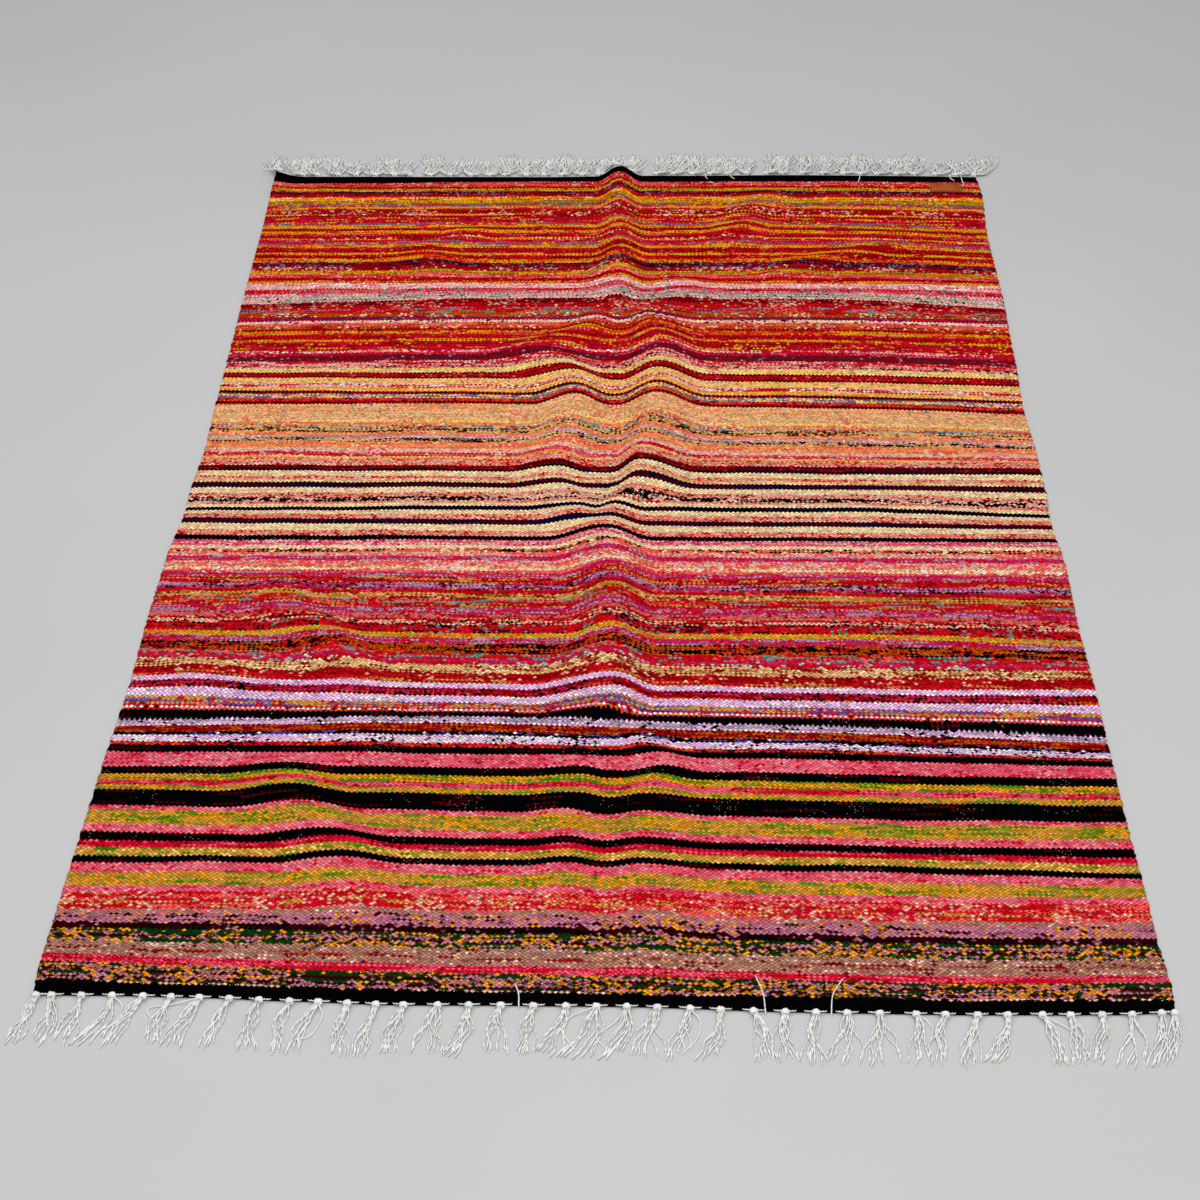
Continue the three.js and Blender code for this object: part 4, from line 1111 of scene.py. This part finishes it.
def loose_loop(loop, along, outward):
    """A yarn that swings out from its knot and comes back."""
    knot_x, edge_y, edge_z = place_on_cloth(loop.knot, along)
    places = (
        (0, 0, edge_z + NEAR_TUMBLE.knot),
        (loop.side, loop.out, END_YARN * LOOP_SIDE_LAYER),
        (loop.turn_side, loop.turn_out, END_YARN * LOOP_TURN_LAYER),
        (loop.end_side, loop.end_out, END_YARN),
    )
    corners = [(knot_x + side, edge_y + outward * (KNOT_OUT + out), z) for side, out, z in places]
    path = smooth_path(corners, 2 * END_STEPS)
    return path, [END_YARN] * len(path)


def flopped_end(row, along, outward):
    """A warp end that came back over the edge and lies on the cloth."""
    edge_x, edge_y, edge_z = place_on_cloth(row.across, along)
    inside = along + outward * row.back
    tip_x, tip_y, tip_z = place_on_cloth(row.tip, inside)
    top = CLOTH_THICKNESS + END_YARN
    middle_x = edge_x + (tip_x - edge_x) * FLOPPED_MIDDLE
    corners = [
        (edge_x, edge_y + outward * FLOPPED_OUT, edge_z + FLOPPED_LOW),
        (edge_x, edge_y + outward * FLOPPED_TURN_OUT, edge_z + top + FLOPPED_TURN_RISE),
        (middle_x, edge_y + (tip_y - edge_y) * 0.5, (edge_z + tip_z) / 2 + top),
        (tip_x, tip_y, tip_z + top),
    ]
    path = smooth_path(corners, FLOPPED_STEPS)
    return path, [END_YARN] * len(path)


def yarn_tree():
    """Turns paths into spun yarn: a three-ply section that twists along each path."""
    tree = bpy.data.node_groups.new("spun yarn", "GeometryNodeTree")
    inputs = (("Paths", "Geometry"), ("Ply Depth", "Float"), ("Twist", "Float"), ("Cotton", "Material"))
    for name, kind in inputs:
        tree.interface.new_socket(name, in_out="INPUT", socket_type="NodeSocket" + kind)
    tree.interface.new_socket("Yarn", in_out="OUTPUT", socket_type="NodeSocketGeometry")
    kinds = {
        "given": "NodeGroupInput", "result": "NodeGroupOutput", "curves": "GeometryNodeMeshToCurve",
        "thickness": "GeometryNodeInputNamedAttribute", "length": "GeometryNodeSplineParameter",
        "turn": "ShaderNodeMath", "tilt": "GeometryNodeSetCurveTilt", "plies": "GeometryNodeCurveStar",
        "tube": "GeometryNodeCurveToMesh", "smooth": "GeometryNodeSetShadeSmooth",
        "whole": "GeometryNodeRealizeInstances", "finish": "GeometryNodeSetMaterial",
    }
    nodes = {name: tree.nodes.new(kind) for name, kind in kinds.items()}
    nodes["thickness"].inputs["Name"].default_value = "thickness"
    nodes["turn"].operation = "MULTIPLY"
    nodes["plies"].inputs["Points"].default_value = PLIES
    nodes["plies"].inputs["Outer Radius"].default_value = PLY_OUTER
    nodes["tube"].inputs["Fill Caps"].default_value = True
    links = (
        ("given", "Paths", "curves", "Mesh"), ("length", "Length", "turn", 0), ("given", "Twist", "turn", 1),
        ("curves", "Curve", "tilt", "Curve"), ("turn", 0, "tilt", "Tilt"),
        ("given", "Ply Depth", "plies", "Inner Radius"), ("tilt", "Curve", "tube", "Curve"),
        ("plies", "Curve", "tube", "Profile Curve"), ("thickness", "Attribute", "tube", "Scale"),
        ("tube", "Mesh", "smooth", "Geometry"), ("smooth", "Geometry", "whole", "Geometry"),
        ("whole", "Geometry", "finish", "Geometry"), ("given", "Cotton", "finish", "Material"),
        ("finish", "Geometry", "result", "Yarn"),
    )
    for source, output, target, socket in links:
        tree.links.new(nodes[source].outputs[output], nodes[target].inputs[socket])
    return tree


def plain_piece(name, paths_mesh, tree, values, material):
    """The mesh that a tree makes of a mesh of paths, as a piece of its own."""
    maker = bpy.data.objects.new(name + "_paths", paths_mesh)
    bpy.context.scene.collection.objects.link(maker)
    modifier = maker.modifiers.new("maker", "NODES")
    modifier.node_group = tree
    for item in tree.interface.items_tree:
        if item.item_type == "SOCKET" and item.in_out == "INPUT" and item.name in values:
            modifier[item.identifier] = values[item.name]
    bpy.context.view_layer.update()
    made = maker.evaluated_get(bpy.context.evaluated_depsgraph_get())
    mesh = bpy.data.meshes.new_from_object(made)
    mesh.name = name
    maker.modifiers.remove(modifier)
    bpy.data.objects.remove(maker)
    mesh.materials.clear()
    return new_object(name, mesh, material)


def spun_piece(name, yarns, tree, material):
    points, thickness, edges = [], [], []
    for path, sizes in yarns:
        first = len(points)
        points += [tuple(coordinate * MM for coordinate in place) for place in path]
        thickness += [size * MM for size in sizes]
        edges += [(first + step, first + step + 1) for step in range(len(path) - 1)]
    paths = bpy.data.meshes.new(name + "_paths")
    paths.from_pydata(points, edges, [])
    paths.attributes.new("thickness", "FLOAT", "POINT").data.foreach_set("value", thickness)
    values = {"Ply Depth": PLY_INNER, "Twist": PLY_TURNS_PER_METRE * 2 * math.pi, "Cotton": material}
    return plain_piece(name, paths, tree, values, material)


def fringe_yarns(tassels, along, outward, tumble, flopped, loops):
    yarns = []
    for index, tassel in enumerate(tassels):
        yarns += [warp_end(tassel, index, end, along, outward, tumble) for end in range(tumble.ends)]
        turned = scatter(index, "wrap") * math.pi
        for start in (turned, turned + math.pi):
            yarns.append(knot_wrap(tassel, along, outward, tumble.knot, start))
    yarns += [flopped_end(row, along, outward) for row in flopped]
    yarns += [loose_loop(loop, along, outward) for loop in loops]
    return yarns


# Leather patch


def patch_place(x, y, z):
    """A place on the patch in the rug's own frame."""
    turned_x = x * math.cos(PATCH_TURN) - y * math.sin(PATCH_TURN)
    turned_y = x * math.sin(PATCH_TURN) + y * math.cos(PATCH_TURN)
    return (PATCH_ACROSS + turned_x, CLOTH_LENGTH / 2 - PATCH_ALONG + turned_y, PATCH_LIFT + z)


def patch_mesh():
    shape = bmesh.new()
    half_x, half_y = PATCH_WIDTH / 2, PATCH_HEIGHT / 2
    corners = ((half_x, -half_y), (half_x, half_y), (-half_x, half_y), (-half_x, -half_y))
    base = []
    for number, (x, y) in enumerate(corners):
        centre = Vector((x - math.copysign(PATCH_CORNER, x), y - math.copysign(PATCH_CORNER, y)))
        for step in range(PATCH_CORNER_STEPS + 1):
            angle = math.radians(-90 + 90 * number + 90 / PATCH_CORNER_STEPS * step)
            base.append(centre + PATCH_CORNER * Vector((math.cos(angle), math.sin(angle))))
    under = [shape.verts.new((point.x, point.y, 0)) for point in base]
    face = shape.faces.new(under)
    raised = bmesh.ops.extrude_face_region(shape, geom=[face])["geom"]
    lifted = [part for part in raised if isinstance(part, bmesh.types.BMVert)]
    bmesh.ops.translate(shape, verts=lifted, vec=(0, 0, PATCH_THICKNESS))
    rim = [edge for edge in shape.edges if abs(edge.verts[0].co.z - edge.verts[1].co.z) < LEVEL]
    bmesh.ops.bevel(shape, geom=rim, offset=PATCH_EDGE, segments=2, affect="EDGES")
    bmesh.ops.recalc_face_normals(shape, faces=shape.faces)
    mesh = bpy.data.meshes.new("leather_patch_cut")
    shape.to_mesh(mesh)
    shape.free()
    mesh.shade_smooth()
    for vertex in mesh.vertices:
        vertex.co = Vector(patch_place(*vertex.co)) * MM
    return mesh


def patch_stitches():
    """Short stitches down both ends of the patch."""
    yarns = []
    pitch = (PATCH_HEIGHT - 2 * STITCH_INSET) / (PATCH_STITCHES - 1)
    sunk, proud = PATCH_THICKNESS - STITCH_SUNK, PATCH_THICKNESS + STITCH_PROUD
    half, half_top = STITCH_LENGTH / 2, STITCH_LENGTH / 3
    for side in (-1, 1):
        x = side * (PATCH_WIDTH / 2 - STITCH_INSET)
        for number in range(PATCH_STITCHES):
            y = -PATCH_HEIGHT / 2 + STITCH_INSET + number * pitch
            bends = ((-half, sunk), (-half_top, proud), (half_top, proud), (half, sunk))
            path = smooth_path([patch_place(x, y + down, z) for down, z in bends], STITCH_STEPS)
            yarns.append((path, [STITCH_YARN] * len(path)))
    return yarns


# Floor, light and camera


def lay_floor():
    mesh = bpy.data.meshes.new("floor")
    corners = [(x * FLOOR_HALF, y * FLOOR_HALF, 0) for x, y in ((-1, -1), (1, -1), (1, 1), (-1, 1))]
    mesh.from_pydata(corners, [], [(0, 1, 2, 3)])
    floor = new_object("floor", mesh, pale_floor())
    return floor


def hang_light(row):
    light = bpy.data.lights.new(row.name, "AREA")
    light.shape = "SQUARE"
    light.size = row.size
    light.energy = row.power
    lamp = bpy.data.objects.new(row.name, light)
    lamp.location = row.place
    lamp.rotation_euler = (Vector(row.target) - Vector(row.place)).to_track_quat("-Z", "Y").to_euler()
    bpy.context.scene.collection.objects.link(lamp)


def light_scene():
    world = bpy.data.worlds.new("soft room light")
    world.use_nodes = True
    background = world.node_tree.nodes["Background"]
    background.inputs["Color"].default_value = (1, 1, 1, 1)
    background.inputs["Strength"].default_value = ROOM_LIGHT
    bpy.context.scene.world = world
    for row in LIGHTS:
        hang_light(row)
    bpy.context.scene.view_settings.view_transform = "Standard"


def set_camera():
    data = bpy.data.cameras.new("camera")
    data.lens = CAMERA_LENS
    data.sensor_width = CAMERA_SENSOR
    camera = bpy.data.objects.new("camera", data)
    camera.location = CAMERA_PLACE
    camera.rotation_euler = [math.radians(angle) for angle in CAMERA_TURN]
    bpy.context.scene.collection.objects.link(camera)
    bpy.context.scene.camera = camera


def ride_and_replace(piece, node):
    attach(piece, "root")
    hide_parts(node)


set_camera()
light_scene()
floor = lay_floor()

cloth = new_object("woven_cloth", cloth_mesh(), striped_cotton())
spun_yarn = yarn_tree()
white_cotton = fringe_cotton()
far_yarns = fringe_yarns(far_tassels(), 0, 1, FAR_TUMBLE, FAR_FLOPPED, [])
near_yarns = fringe_yarns(NEAR_TASSELS, CLOTH_LENGTH, -1, NEAR_TUMBLE, NEAR_FLOPPED, NEAR_LOOPS)
far_fringe = spun_piece("far_fringe", far_yarns, spun_yarn, white_cotton)
near_fringe = spun_piece("near_fringe", near_yarns, spun_yarn, white_cotton)
patch = new_object("bare_leather_patch", patch_mesh(), tan_leather())
stitches = spun_piece("patch_stitches", patch_stitches(), spun_yarn, stitch_thread())

ride_and_replace(cloth, "rug_cloth")
ride_and_replace(far_fringe, "fringe_far")
ride_and_replace(near_fringe, "fringe_near")
ride_and_replace(patch, "leather_patch")
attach(stitches, "root")
